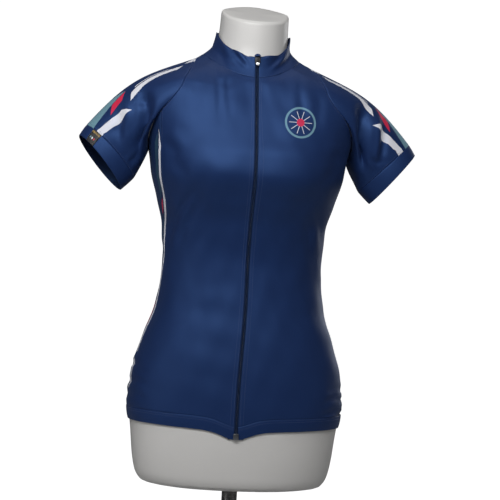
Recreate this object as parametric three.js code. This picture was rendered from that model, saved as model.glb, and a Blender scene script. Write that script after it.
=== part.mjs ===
// A short-sleeved cycling jersey on a limbless dress form, which stands on a pole and a round foot.
// Millimetres. +Z is up, the jersey's front faces -Y and the wearer's left is +X.
// The origin is the middle of the foot's underside, on the pole's axis.
import * as THREE from 'three';
import { mergeVertices } from 'three/addons/utils/BufferGeometryUtils.js';

// A short table's rows, as objects with the named columns.
function table(columns, rows) {
  const keys = columns.split(' ');
  return rows.map((row) => Object.fromEntries(keys.map((key, i) => [key, row[i]])));
}

// Cloth sizes. The cloth's inner face stands CLEAR off the form, and pieces part by SEAM_GAP.
const CLOTH = 1.4;
const CLEAR = 2.1;
const OUTER = CLEAR + CLOTH;
const SEAM_GAP = 0.34;
const LAYER_GAP = 0.45;
const TOUCH_GAP = 0.3;
const TAB_CLOTH = 0.9;

// Stand sizes.
const FOOT_RADIUS = 150;
const FOOT_HEIGHT = 12;
const FOOT_BEVEL = 2;
const FOOT_SIDES = 48;
const POLE_RADIUS = 12;
const POLE_SIDES = 24;

// The figure's rings. level is the height at the side; front and back are the heights there.
// half, chest and spine are the distances from the axis to the side, front and back.
// square is the ring's superellipse power, sweep the power that carries side height to front,
// and shift the ring's place across, because the padded neck and shoulders lean a little.
const FIGURE = table('name level front back half chest spine square sweep shift', [
  ['under edge', 295, 295, 295, 116, 68, 88, 2.2, 2, 0],
  ['under curve', 301, 301, 301, 140, 86, 107, 2.2, 2, 0],
  ['lower seat', 324, 324, 324, 152, 93, 117, 2.2, 2, 0],
  ['seat', 375, 375, 375, 159, 98, 124, 2.2, 2, 0],
  ['hip', 424, 424, 424, 164, 100, 122, 2.2, 2, 0],
  ['high hip', 475, 475, 475, 158, 98, 110, 2.2, 2, 0],
  ['belly', 525, 525, 525, 143.5, 93, 96, 2.2, 2, 0],
  ['low waist', 575, 575, 575, 127, 86, 84, 2.15, 2, 0],
  ['waist', 640, 640, 640, 120.5, 81, 76, 2.1, 2, 0],
  ['ribs', 695, 695, 695, 124, 90, 81, 2.15, 2, 0],
  ['under bust', 735, 735, 735, 134, 106, 88, 2.3, 2, 0],
  ['bust', 776, 774, 776, 145, 121, 95, 2.4, 2, 0],
  ['armpit', 806, 800, 806, 150, 118, 99, 2.45, 2, 0],
  ['chest', 838, 828, 836, 157, 108, 100, 2.5, 2, 0],
  ['shoulder', 872, 856, 866, 164, 97, 97, 2.6, 2, 0],
  ['shoulder tip', 898, 878, 892, 166, 88, 91, 2.6, 2, -1],
  ['crest', 916, 892, 912, 155, 82, 84, 2.6, 2, -1],
  ['slope out', 929, 902, 928, 128, 78, 76, 2.5, 2, 0],
  ['slope in', 944, 912, 944, 96, 74, 67, 2.3, 1.9, -1],
  ['neck root', 957, 922, 960, 73, 69, 57, 2.1, 1.6, -3],
  ['neck low', 974, 943, 980, 57, 63, 49, 2, 1.2, -3],
  ['neck middle', 997, 972, 1008, 53.5, 60, 44, 2, 1, -1],
  ['neck top', 1031, 1009, 1046, 52.5, 60, 42, 2, 1, 0],
]);

// The form's shoulders and neck lean down towards the wearer's left, as a rise per unit of width.
const TILT = { slope: 0.016, from: 840, to: 900 };

// The soft fullness of the front at bust height, on both sides of the zip.
const FULLNESS = { depth: 5, across: 68, spread: 40, height: 776, rise: 42 };

// Seams down the sides, at a turn in degrees forward of the side line, for the wearer's right and left.
// The jersey sits slightly turned on its form, so the right side panel shows further forward.
const SIDE_SEAMS = {
  right: table('level turn', [
    [340, 4],
    [450, 5],
    [600, 5.5],
    [660, 8],
    [695, 12],
    [720, 18],
    [745, 22],
    [776, 24],
    [830, 25],
  ]),
  left: table('level turn', [
    [340, 2],
    [450, 2],
    [600, 2],
    [660, 2],
    [695, 3],
    [745, 4],
    [830, 5],
  ]),
};
const SIDE_PANEL_ANGLE = 28;

// The raglan seam is a closed loop round each shoulder, from the armpit to a point near the collar.
const RAGLAN = { armpit: 809, point: 950, front: 28.5, back: 27, skew: 0.6 };

// Hem and collar edges.
const HEM = { side: 394, frontDrop: 5, zipDrop: 12, zipDropWidth: 28, backDrop: 34, band: 20 };
const COLLAR = { base: 957, side: 996, front: 955, back: 1009, flare: 0.8 };
const ZIP = { half: 2.9, sunk: 0.3, hemShift: -6, shiftTop: 600, shiftRun: 175 };

// Sleeve rings, for the wearer's left: a centre in X and Z, the long half-axis and its lean
// outwards from straight up, the short half-axis front to back, and the centre's place in Y.
// square is the ring's superellipse power, and tilted the share of the form's tilt that it takes.
const SLEEVE_RINGS = {
  cap: { x: 161, z: 861.5, y: 3, long: 57.5, lean: 4, short: 77, square: 2.5, tilted: 1 },
  bend: { x: 178, z: 849.5, y: 1, long: 68, lean: 8, short: 50, square: 2.2, tilted: 0.4 },
  bandSeam: { x: 213.5, z: 801, y: -6, long: 54.5, lean: 45, short: 37, square: 2, tilted: 0 },
  cuffEdge: { x: 228, z: 783.5, y: -9, long: 52.5, lean: 40.5, short: 35, square: 2, tilted: 0 },
};
// The wearer's right cuff is turned to the front, so that its opening shows.
const CUFF_TURN = { right: 9, left: 2 };
// How much lower the cloth hangs under the top of each sleeve.
const UNDERARM_DROP = { right: 9, left: 1 };
const SHOULDER_LIFT = { right: 2, left: 0 };

// The folds where each empty sleeve falls from the shoulder's tip, running up and down at a
// distance x from the axis. A ridge has a negative depth. face is 1 at the front and -1 behind.
const SLEEVE_FOLDS = table('name face x width depth bottom top', [
  ['front fall', 1, 171, 11, 10, 790, 905],
  ['front ridge', 1, 189, 8, -3, 795, 885],
  ['front second fall', 1, 203, 7, 4, 800, 872],
  ['back fall', -1, 172, 12, 10, 790, 905],
  ['back ridge', -1, 191, 9, -3, 795, 885],
]);
const FOLD_FADE = 30;

// Pockets on the back: one wide panel, sewn down in three, with a bound mouth.
// The bulge grows over the first rows, and is less again over as many below the mouth.
const POCKET = {
  firstColumn: 2, lastColumn: 14, firstRow: 0, lastRow: 7, binding: 0.35,
  pockets: 3, bulge: 4, growth: 3, atMouth: 0.35,
};

// The zip's slider, in mm, at a height on the zip and off the cloth by a gap. foot is its lower width.
const SLIDER = { height: 948, width: 8.4, foot: 6.6, length: 11, plate: 2.4, gap: 0.5 };
const BRIDGE = {
  half: 3.4, rise: 3, bar: 0.9, corner: 0.8, width: 1.6, foot: SLIDER.gap + SLIDER.plate + TOUCH_GAP,
};
// The pull tab. hang and height place its bar in the slider's frame, and rail is below its window.
const TAB = {
  bar: 1.1, window: 3.2, arm: 1.1, rail: 0.6, reach: 6, slope: 0.8, length: 9.8, width: 5.6, corner: 1.2,
  thick: 1.1, hang: 1.7, height: BRIDGE.foot + (BRIDGE.rise - BRIDGE.bar) / 2,
};
// The box that joins the zip's two halves, at a height above the hem.
const ZIP_BOX = { width: 8, depth: 2.6, height: 9, above: 5, gap: 0.4 };

// Mesh steps.
const EDGE_STEPS = 10;
const UNDER_STEPS = 8;
const ALONG_SLEEVE = 13;
// The steps round the right cuff, from its top to the front, over which the woven tab lies.
const TAB_STEPS = [4, 5, 6];
// Shares of a sleeve's length over which its wall turns into its neighbours' walls, and where its
// own direction is first read. Under the arm the sleeve folds back, so there it keeps its own.
const MITRE = 0.16;
const FIRST_SLEEVE_STEP = 0.02;
const FRONT_COLUMNS = 9;
const BACK_COLUMNS = 16;
const TALL_STEP = 30;
const NECK_STEP = 9;
const NECK_START = 915;
const FIRST_ROW = 12;
const FORM_COLUMNS = 36;
const FORM_CROWDING = 8;

const COLOURS = {
  navy: 0x2b4173,
  navyDeep: 0x1a2b51,
  zip: 0x141c33,
  metal: 0xb8bcc2,
  black: 0x101012,
  shell: 0xcfcdca,
  pole: 0x1c1c1e,
};

const radians = THREE.MathUtils.degToRad;
const clamp01 = (x) => Math.min(1, Math.max(0, x));
const smooth = (x) => clamp01(x) ** 2 * (3 - 2 * clamp01(x));
const mix = (a, b, t) => a + (b - a) * t;
const bell = (x, width) => Math.exp(-((x / width) ** 2));

// A smooth curve through a table's column that never overshoots its rows.
function column(rows, key) {
  const x = rows.map((row) => row.level);
  const y = rows.map((row) => row[key]);
  const slopes = x.slice(1).map((next, i) => (y[i + 1] - y[i]) / (next - x[i]));
  const tangent = x.map((_, i) => {
    if (i === 0) return slopes[0];
    if (i === x.length - 1) return slopes[i - 1];
    const [before, after] = [slopes[i - 1], slopes[i]];
    if (before * after <= 0) return 0;
    const [wide, near] = [x[i] - x[i - 1], x[i + 1] - x[i]];
    return (3 * (wide + near)) / ((2 * near + wide) / before + (near + 2 * wide) / after);
  });
  return (at) => {
    const value = Math.min(x[x.length - 1], Math.max(x[0], at));
    let i = 0;
    while (i < x.length - 2 && value > x[i + 1]) i += 1;
    const run = x[i + 1] - x[i];
    const t = (value - x[i]) / run;
    const [t2, t3] = [t * t, t * t * t];
    return (
      (2 * t3 - 3 * t2 + 1) * y[i] + (t3 - 2 * t2 + t) * run * tangent[i] +
      (3 * t2 - 2 * t3) * y[i + 1] + (t3 - t2) * run * tangent[i + 1]
    );
  };
}

// The heights of the figure's mesh rows: its rings, and even steps between them.
const FORM_LEVELS = FIGURE.flatMap((row, i) => {
  const next = FIGURE[i + 1];
  if (!next) return [row.level];
  const parts = Math.ceil((next.level - row.level) / (row.level > NECK_START ? NECK_STEP : TALL_STEP));
  return Array.from({ length: parts }, (_, part) => mix(row.level, next.level, part / parts));
});

const RING_KEYS = ['front', 'back', 'half', 'chest', 'spine', 'square', 'sweep', 'shift'];
const ring = Object.fromEntries(RING_KEYS.map((key) => [key, column(FIGURE, key)]));
const seamForward = { right: column(SIDE_SEAMS.right, 'turn'), left: column(SIDE_SEAMS.left, 'turn') };

// The figure's surface: angle is in degrees round the axis, 0 at the front and +90 at the left.
function figure(angle, level) {
  const [sin, cos] = [Math.sin(radians(angle)), Math.cos(radians(angle))];
  const depth = cos > 0 ? ring.chest(level) : ring.spine(level);
  const power = ring.square(level);
  const reach = (Math.abs(sin) / ring.half(level)) ** power + (Math.abs(cos) / depth) ** power;
  const radius = reach ** (-1 / power);
  const lift = (cos > 0 ? ring.front(level) : ring.back(level)) - level;
  const z = level + lift * Math.abs(cos) ** ring.sweep(level);
  const x = radius * sin;
  const tilt = -TILT.slope * x * smooth((level - TILT.from) / (TILT.to - TILT.from));
  const aside = bell(Math.abs(x) - FULLNESS.across, FULLNESS.spread);
  const swell = aside * bell(z - FULLNESS.height, FULLNESS.rise);
  const full = cos > 0 ? FULLNESS.depth * swell : 0;
  return new THREE.Vector3(x + ring.shift(level), -radius * cos - full, z + tilt);
}

function figureNormal(angle, level) {
  const across = figure(angle + 0.5, level).sub(figure(angle - 0.5, level));
  const up = figure(angle, level + 0.5).sub(figure(angle, level - 0.5));
  return across.cross(up).normalize();
}

function onFigure(place, offset) {
  return figure(place.angle, place.level).addScaledVector(figureNormal(place.angle, place.level), offset);
}

// The level whose ring passes through height z at this angle.
function levelAtHeight(angle, z) {
  let [low, high] = [FIGURE[0].level, FIGURE[FIGURE.length - 1].level];
  for (let i = 0; i < 40; i += 1) {
    const middle = (low + high) / 2;
    if (figure(angle, middle).z < z) low = middle;
    else high = middle;
  }
  return low;
}

// The angle at which the ring at this level passes through x, near the front.
function angleAtX(x, level) {
  let [low, high] = [-60, 60];
  for (let i = 0; i < 40; i += 1) {
    const middle = (low + high) / 2;
    if (figure(middle, level).x < x) low = middle;
    else high = middle;
  }
  return low;
}

const zipX = (level) => ZIP.hemShift * smooth((ZIP.shiftTop - level) / ZIP.shiftRun);

function hemHeight(angle) {
  const cos = Math.cos(radians(angle));
  const x = figure(angle, HEM.side).x - zipX(HEM.side);
  if (cos > 0) return HEM.side - HEM.frontDrop * cos ** 2 - HEM.zipDrop * bell(x, HEM.zipDropWidth);
  return HEM.side - HEM.backDrop * cos ** 2;
}

function collarHeight(angle) {
  const cos = Math.cos(radians(angle));
  return cos > 0 ? mix(COLLAR.side, COLLAR.front, cos ** 1.3) : mix(COLLAR.side, COLLAR.back, cos ** 2);
}

const hemLevel = (angle) => levelAtHeight(angle, hemHeight(angle));
const bandLevel = (angle) => levelAtHeight(angle, hemHeight(angle) + HEM.band);

// A point of the raglan loop. turn is 0 at its point by the collar and 180 at the armpit.
function raglan(side, turn) {
  const [sin, cos] = [Math.sin(radians(turn)), Math.cos(radians(turn))];
  const width = sin > 0 ? RAGLAN.front : RAGLAN.back;
  const angle = 90 - width * sin * (1 + RAGLAN.skew * cos);
  return { angle: side * angle, level: mix(RAGLAN.armpit, RAGLAN.point, (1 + cos) / 2) };
}

// How far a side panel's front and back seams stand from the side line, in degrees.
function seamAngle(side, level, edge) {
  const forward = seamForward[side > 0 ? 'left' : 'right'](level);
  return edge === 'front' ? 90 - forward : 90 - forward + SIDE_PANEL_ANGLE;
}

// The turn at which the raglan loop meets a side seam.
function crossing(side, edge) {
  let [low, high] = edge === 'front' ? [90, 180] : [270, 180];
  for (let i = 0; i < 40; i += 1) {
    const middle = (low + high) / 2;
    const place = raglan(side, middle);
    const past = Math.abs(place.angle) - seamAngle(side, place.level, edge);
    if (edge === 'front' ? past < 0 : past > 0) low = middle;
    else high = middle;
  }
  return low;
}

// Steps round the raglan loop: along the front's edge, under the arm, and along the back's edge.
function raglanTurns(side) {
  const seams = { front: crossing(side, 'front'), back: crossing(side, 'back') };
  const stretches = [
    [0, seams.front, EDGE_STEPS],
    [seams.front, seams.back, UNDER_STEPS],
    [seams.back, 360, EDGE_STEPS],
  ];
  return stretches.flatMap(([from, to, steps]) => {
    return Array.from({ length: steps }, (_, i) => mix(from, to, i / steps));
  });
}

const LOOPS = { right: raglanTurns(-1), left: raglanTurns(1) };
const loopOf = (side) => LOOPS[side > 0 ? 'left' : 'right'];
const FRONT_MEET = EDGE_STEPS;
const BACK_MEET = EDGE_STEPS + UNDER_STEPS;

// Shares of the way from the hem band to the armpit at which the lower rows of the panels lie.
const HEM_FOOT = bandLevel(90);
const LOWER_SHARES = [
  0,
  ...FORM_LEVELS.filter((level) => level > HEM_FOOT + FIRST_ROW && level < RAGLAN.armpit - 1)
    .map((level) => (level - HEM_FOOT) / (RAGLAN.armpit - HEM_FOOT)),
];
const LOWER_ROWS = LOWER_SHARES.length;

// The edge of a front or back panel away from its middle: side seam, raglan, then shoulder seam.
function outerEdge(side, edge) {
  const turns = loopOf(side);
  const ahead = turns.slice(0, FRONT_MEET + 1).reverse();
  const along = edge === 'front' ? ahead : [...turns.slice(BACK_MEET), 360];
  const meet = raglan(side, along[0]);
  const seam = LOWER_SHARES.map((share) => {
    const level = mix(HEM_FOOT, meet.level, share);
    return { angle: side * seamAngle(side, level, edge), level };
  });
  return [...seam, ...along.map((turn) => raglan(side, turn)), { angle: side * 90, level: COLLAR.base }];
}

// Column spacings that draw together where the body turns sharply, at the sides.
const CROWDING = 0.45;
const towardsEnd = (t) => mix(t, Math.sin((Math.PI / 2) * t), CROWDING);
const towardsBothEnds = (t) => mix(t, (1 - Math.cos(Math.PI * t)) / 2, CROWDING);

// A grid of places ruled between two edges, which run upwards side by side.
function ruled(first, last, columns, spacing) {
  return first.map((start, row) => {
    const end = last[row];
    return Array.from({ length: columns + 1 }, (_, i) => {
      const t = spacing(i / columns);
      return { angle: mix(start.angle, end.angle, t), level: mix(start.level, end.level, t) };
    });
  });
}

// Places along the zip's edge at the given levels, with the foot moved to a height of its own.
function zipEdge(side, levels) {
  return levels.map((level) => ({ angle: angleAtX(zipX(level) + side * ZIP.half, level), level }));
}

// Moves a grid's lowest row onto the hem band's upper edge, and the rows above it less and less.
function settleFoot(grid) {
  const lift = grid[0].map((place) => bandLevel(place.angle) - place.level);
  return grid.map((row, r) => {
    const share = 1 - smooth(r / LOWER_ROWS);
    return row.map((place, i) => ({ angle: place.angle, level: place.level + lift[i] * share }));
  });
}

function frontPlaces(side) {
  const outer = outerEdge(side, 'front');
  const inner = zipEdge(side, outer.map((place) => place.level));
  const grid = settleFoot(ruled(inner, outer, FRONT_COLUMNS, towardsEnd));
  const refit = zipEdge(side, grid.map((row) => row[0].level));
  return grid.map((row, r) => [refit[r], ...row.slice(1)]);
}

function backPlaces() {
  const left = outerEdge(1, 'back');
  const right = outerEdge(-1, 'back').map((place) => ({ angle: place.angle + 360, level: place.level }));
  return settleFoot(ruled(left, right, BACK_COLUMNS, towardsBothEnds));
}

function sidePlaces(side) {
  const tops = loopOf(side).slice(FRONT_MEET, BACK_MEET + 1).map((turn) => raglan(side, turn));
  const seamAt = (level, across) => {
    return mix(seamAngle(side, level, 'front'), seamAngle(side, level, 'back'), across);
  };
  const rows = [...LOWER_SHARES, 1].map((share) => tops.map((top, i) => {
    const across = i / (tops.length - 1);
    const level = mix(HEM_FOOT, top.level, share);
    const drawn = Math.abs(top.angle) - seamAt(top.level, across);
    return { angle: side * (seamAt(level, across) + drawn * share ** 4), level };
  }));
  return settleFoot(rows);
}

const pointsOf = (places, offset) => places.map((row) => row.map((place) => onFigure(place, offset)));

// Draws a grid's border in by half a seam gap, so that neighbouring pieces part.
function trimmed(grid, closed = false) {
  const rows = grid.length;
  const columns = grid[0].length;
  const pulled = grid.map((row) => row.map((point) => point.clone()));
  const pull = (r, c, toRow, toColumn) => {
    const way = grid[toRow][toColumn].clone().sub(grid[r][c]).normalize();
    pulled[r][c].addScaledVector(way, SEAM_GAP / 2);
  };
  for (let c = 0; c < columns; c += 1) {
    pull(0, c, 1, c);
    pull(rows - 1, c, rows - 2, c);
  }
  for (let r = 0; !closed && r < rows; r += 1) {
    pull(r, 0, r, 1);
    pull(r, columns - 1, r, columns - 2);
  }
  return pulled;
}

function geometryOf(points, triangles) {
  const geometry = new THREE.BufferGeometry();
  const numbers = points.flatMap((p) => [p.x, p.y, p.z]);
  geometry.setAttribute('position', new THREE.Float32BufferAttribute(numbers, 3));
  const volume = triangles.reduce((sum, [a, b, c]) => {
    return sum + points[a].dot(new THREE.Vector3().crossVectors(points[b], points[c]));
  }, 0);
  geometry.setIndex(triangles.flatMap(([a, b, c]) => (volume > 0 ? [a, b, c] : [a, c, b])));
  return mergeVertices(geometry, 1e-4);
}

// A wall of cloth between an outer and an inner grid. A closed wall joins its last column to its first.
function wall(outer, inner, closed = false) {
  const rows = outer.length;
  const columns = outer[0].length;
  const points = [...outer.flat(), ...inner.flat()];
  const triangles = [];
  const at = (layer, r, c) => layer * rows * columns + r * columns + (c % columns);
  const quad = (a, b, c, d) => triangles.push([a, b, c], [a, c, d]);
  const lastColumn = closed ? columns : columns - 1;
  for (let r = 0; r < rows - 1; r += 1) {
    for (let c = 0; c < lastColumn; c += 1) {
      quad(at(0, r, c), at(0, r, c + 1), at(0, r + 1, c + 1), at(0, r + 1, c));
      quad(at(1, r, c), at(1, r + 1, c), at(1, r + 1, c + 1), at(1, r, c + 1));
    }
    if (!closed) {
      quad(at(0, r, 0), at(0, r + 1, 0), at(1, r + 1, 0), at(1, r, 0));
      const end = columns - 1;
      quad(at(0, r, end), at(1, r, end), at(1, r + 1, end), at(0, r + 1, end));
    }
  }
  for (let c = 0; c < lastColumn; c += 1) {
    quad(at(0, 0, c), at(1, 0, c), at(1, 0, c + 1), at(0, 0, c + 1));
    quad(at(0, rows - 1, c), at(0, rows - 1, c + 1), at(1, rows - 1, c + 1), at(1, rows - 1, c));
  }
  return geometryOf(points, triangles);
}

function panel(places) {
  return wall(trimmed(pointsOf(places, OUTER)), trimmed(pointsOf(places, CLEAR)));
}

// A point on one of the sleeve's rings, for either side.
function ringPoint(side, name, turn) {
  const shape = SLEEVE_RINGS[name];
  const hand = side > 0 ? 'left' : 'right';
  const free = name === 'bandSeam' || name === 'cuffEdge';
  const round = (value) => Math.sign(value) * Math.abs(value) ** (2 / shape.square);
  const [sin, cos] = [round(Math.sin(radians(turn))), round(Math.cos(radians(turn)))];
  const lean = radians(shape.lean);
  const yaw = radians(free ? CUFF_TURN[hand] : 0);
  const forward = shape.short * sin;
  const sag = free ? 0 : SHOULDER_LIFT[hand] * (1 + cos) / 2 - UNDERARM_DROP[hand] * (1 - cos) / 2;
  const tilt = -side * TILT.slope * shape.x * shape.tilted;
  const x = shape.x + shape.long * cos * Math.sin(lean) - forward * Math.sin(yaw) * Math.cos(lean);
  const y = shape.y - forward * Math.cos(yaw);
  const z = shape.z + shape.long * cos * Math.cos(lean) + forward * Math.sin(yaw) * Math.sin(lean);
  return new THREE.Vector3(side * x, y, z + sag + tilt);
}

// The sleeve's outer face as a cubic curve from the raglan seam to the cuff band, at each turn.
function sleevePoint(side, turn, along) {
  const start = onFigure(raglan(side, turn), OUTER);
  const [cap, bend, seam] = ['cap', 'bend', 'bandSeam'].map((name) => ringPoint(side, name, turn));
  const back = 1 - along;
  return start.multiplyScalar(back ** 3)
    .addScaledVector(cap, 3 * back * back * along)
    .addScaledVector(bend, 3 * back * along * along)
    .addScaledVector(seam, along ** 3);
}

function sleeveNormal(side, turn, along) {
  const [near, far] = [Math.max(0, along - 0.01), Math.min(1, along + 0.01)];
  const around = sleevePoint(side, turn + 1, along).sub(sleevePoint(side, turn - 1, along));
  const down = sleevePoint(side, turn, far).sub(sleevePoint(side, turn, near));
  return around.cross(down).normalize().multiplyScalar(side);
}

// How far the sleeve's folds draw its cloth inwards at a point.
function foldDepth(turn, point) {
  return SLEEVE_FOLDS.reduce((sum, fold) => {
    const face = smooth(fold.face * Math.sin(radians(turn)) * 2);
    const fade = smooth((point.z - fold.bottom) / FOLD_FADE) * smooth((fold.top - point.z) / FOLD_FADE);
    return sum + fold.depth * face * fade * bell(Math.abs(point.x) - fold.x, fold.width);
  }, 0);
}

// The way out from a sleeve's middle at its band seam, which both of the pieces that meet there share.
function rim(side, turn) {
  const middle = ringPoint(side, 'bandSeam', 0).add(ringPoint(side, 'bandSeam', 180)).multiplyScalar(0.5);
  return ringPoint(side, 'bandSeam', turn).sub(middle).normalize();
}

function sleeveGrids(side) {
  const turns = loopOf(side);
  const outer = [];
  const inner = [];
  for (let row = 0; row <= ALONG_SLEEVE; row += 1) {
    const along = row / ALONG_SLEEVE;
    outer.push([]);
    inner.push([]);
    turns.forEach((turn) => {
      const place = raglan(side, turn);
      const fromForm = figureNormal(place.angle, place.level);
      const normal = sleeveNormal(side, turn, Math.max(along, FIRST_SLEEVE_STEP));
      const agree = smooth(normal.dot(fromForm) * 2 - 1);
      normal.lerp(fromForm, agree * (1 - smooth(along / MITRE)));
      normal.lerp(rim(side, turn), smooth(1 - (1 - along) / MITRE)).normalize();
      const point = sleevePoint(side, turn, along);
      point.addScaledVector(normal, -foldDepth(turn, point) * smooth((1 - along) / MITRE));
      outer[row].push(point);
      inner[row].push(point.clone().addScaledVector(normal, -CLOTH));
    });
  }
  return { outer, inner };
}

function sleeve(side) {
  const { outer, inner } = sleeveGrids(side);
  return wall(trimmed(outer, true), trimmed(inner, true), true);
}

// The cuff band carries the sleeve on to its edge, as a doubled layer of cloth.
function cuffGrids(side, proud = 0) {
  const turns = loopOf(side);
  const seam = sleeveGrids(side).outer[ALONG_SLEEVE];
  const grid = (offset) => [0, 0.5, 1].map((share) => seam.map((point, i) => {
    const edge = ringPoint(side, 'cuffEdge', turns[i]);
    return point.clone().lerp(edge, share).addScaledVector(rim(side, turns[i]), offset);
  }));
  return { outer: grid(proud), inner: grid(proud - CLOTH) };
}

function cuff(side) {
  const { outer, inner } = cuffGrids(side);
  return wall(trimmed(outer, true), trimmed(inner, true), true);
}

// A woven tab sewn over the front of the wearer's right cuff.
function cuffTab() {
  const cut = (grid) => grid.map((row) => TAB_STEPS.map((c) => row[c]));
  const low = cut(cuffGrids(-1, LAYER_GAP).outer);
  const high = cut(cuffGrids(-1, LAYER_GAP + TAB_CLOTH).outer);
  return wall(trimmed(high), trimmed(low));
}

const PLACES = {
  front_left: frontPlaces(1),
  front_right: frontPlaces(-1),
  side_left: sidePlaces(1),
  side_right: sidePlaces(-1),
  back: backPlaces(),
};

// The angles of a row of panels, in order round the jersey from the zip's left edge to its right.
function anglesRound(rowOf, names) {
  const angles = [];
  names.forEach((name) => {
    const reverse = name.endsWith('_right');
    const row = rowOf(PLACES[name]).map((place) => (reverse ? place.angle + 360 : place.angle));
    if (reverse) row.reverse();
    row.forEach((angle) => {
      if (!angles.length || angle - angles[angles.length - 1] > 0.05) angles.push(angle);
    });
  });
  return angles;
}

// Moves the two ends of a row that runs all round onto the zip's edges.
function edgedByZip(row) {
  const ends = [1, -1].map((side, i) => zipEdge(side, [row[i * (row.length - 1)].level])[0]);
  return [ends[0], ...row.slice(1, -1), { angle: ends[1].angle + 360, level: ends[1].level }];
}

function hemBand() {
  const names = ['front_left', 'side_left', 'back', 'side_right', 'front_right'];
  const angles = anglesRound((places) => places[0], names);
  const rows = [hemLevel, (angle) => (hemLevel(angle) + bandLevel(angle)) / 2, bandLevel];
  const places = rows.map((levelAt) => angles.map((angle) => ({ angle, level: levelAt(angle) })));
  return panel(places.map(edgedByZip));
}

const COLLAR_SHARES = [0, 0.2, 0.42, 0.7, 1];

function collarPlaces() {
  const names = ['front_left', 'back', 'front_right'];
  const angles = anglesRound((places) => places[places.length - 1], names);
  const rows = COLLAR_SHARES.map((share) => angles.map((angle) => {
    return { angle, level: mix(COLLAR.base, levelAtHeight(angle, collarHeight(angle)), share) };
  }));
  return rows.map(edgedByZip);
}

// The stand collar leaves the neck a little towards its top, at the sides and the back.
function collar() {
  const places = collarPlaces();
  const grid = (offset) => places.map((row, r) => row.map((place) => {
    const aside = smooth(1.2 * (1 - Math.cos(radians(place.angle))));
    const away = COLLAR.flare * COLLAR_SHARES[r] ** 2 * aside;
    return onFigure(place, offset + away);
  }));
  return wall(trimmed(grid(OUTER)), trimmed(grid(CLEAR)));
}

// The zip runs from the hem to the collar's top, as two strips that meet on its line.
function zipLevels() {
  const rows = PLACES.front_left.map((row) => row[0].level);
  const collar = collarPlaces().map((row) => row[0].level);
  return [hemLevel(0), ...rows, ...collar.slice(1)];
}

function zipStrip(side) {
  const levels = zipLevels();
  const places = levels.map((level) => [0, ZIP.half].map((from) => {
    return { angle: angleAtX(zipX(level) + side * from, level), level };
  }));
  return wall(trimmed(pointsOf(places, OUTER - ZIP.sunk)), trimmed(pointsOf(places, CLEAR)));
}

// A frame on the zip's line: x across, y out of the cloth and z up the zip.
function zipFrame(height) {
  const level = levelAtHeight(0, height);
  const place = { angle: angleAtX(zipX(level), level), level };
  const out = figureNormal(place.angle, level);
  out.x = 0;
  out.normalize();
  const across = new THREE.Vector3(-1, 0, 0);
  const up = across.clone().cross(out);
  const origin = onFigure(place, OUTER);
  return new THREE.Matrix4().makeBasis(across, out, up).setPosition(origin);
}

// The slider's body is a plate that narrows a little towards its lower end.
function zipSlider() {
  const shape = new THREE.Shape();
  const half = SLIDER.length / 2;
  shape.moveTo(-SLIDER.foot / 2, -half);
  shape.lineTo(SLIDER.foot / 2, -half);
  shape.lineTo(SLIDER.width / 2, 0);
  shape.lineTo(SLIDER.width / 2, half);
  shape.lineTo(-SLIDER.width / 2, half);
  shape.lineTo(-SLIDER.width / 2, 0);
  const plate = new THREE.ExtrudeGeometry(shape, { depth: SLIDER.plate, bevelEnabled: false });
  plate.rotateX(Math.PI / 2);
  plate.translate(0, SLIDER.gap + SLIDER.plate, 0);
  return plate;
}

// The bridge is a low arch that holds the pull tab's bar.
function zipBridge() {
  const { half, rise, bar, corner } = BRIDGE;
  const arch = new THREE.Shape();
  arch.moveTo(-half, 0);
  arch.lineTo(-half, rise - corner);
  arch.lineTo(-half + corner, rise);
  arch.lineTo(half - corner, rise);
  arch.lineTo(half, rise - corner);
  arch.lineTo(half, 0);
  arch.lineTo(half - bar, 0);
  arch.lineTo(half - bar, rise - bar);
  arch.lineTo(-half + bar, rise - bar);
  arch.lineTo(-half + bar, 0);
  const bridge = new THREE.ExtrudeGeometry(arch, { depth: BRIDGE.width, bevelEnabled: false });
  bridge.rotateY(-Math.PI / 2);
  bridge.translate(BRIDGE.width / 2, BRIDGE.foot, 0);
  return bridge;
}

// The pull tab: a bar under the bridge, two arms and a plate, in one flat outline with a window.
function pullTab() {
  const { bar, reach, slope, length, corner, rail } = TAB;
  const half = TAB.width / 2;
  const inner = TAB.window / 2;
  const outer = inner + TAB.arm;
  const outline = new THREE.Shape();
  outline.moveTo(-outer, bar / 2);
  outline.lineTo(-outer, -reach);
  outline.lineTo(-half, -reach - slope);
  outline.lineTo(-half, -length + corner);
  outline.lineTo(-half + corner, -length);
  outline.lineTo(half - corner, -length);
  outline.lineTo(half, -length + corner);
  outline.lineTo(half, -reach - slope);
  outline.lineTo(outer, -reach);
  outline.lineTo(outer, bar / 2);
  const window = new THREE.Path();
  window.moveTo(-inner, -bar / 2);
  window.lineTo(inner, -bar / 2);
  window.lineTo(inner, rail - reach);
  window.lineTo(-inner, rail - reach);
  outline.holes.push(window);
  const tab = new THREE.ExtrudeGeometry(outline, { depth: TAB.thick, bevelEnabled: false });
  tab.rotateX(Math.PI / 2);
  tab.translate(0, TAB.thick / 2, 0);
  return tab;
}

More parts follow.
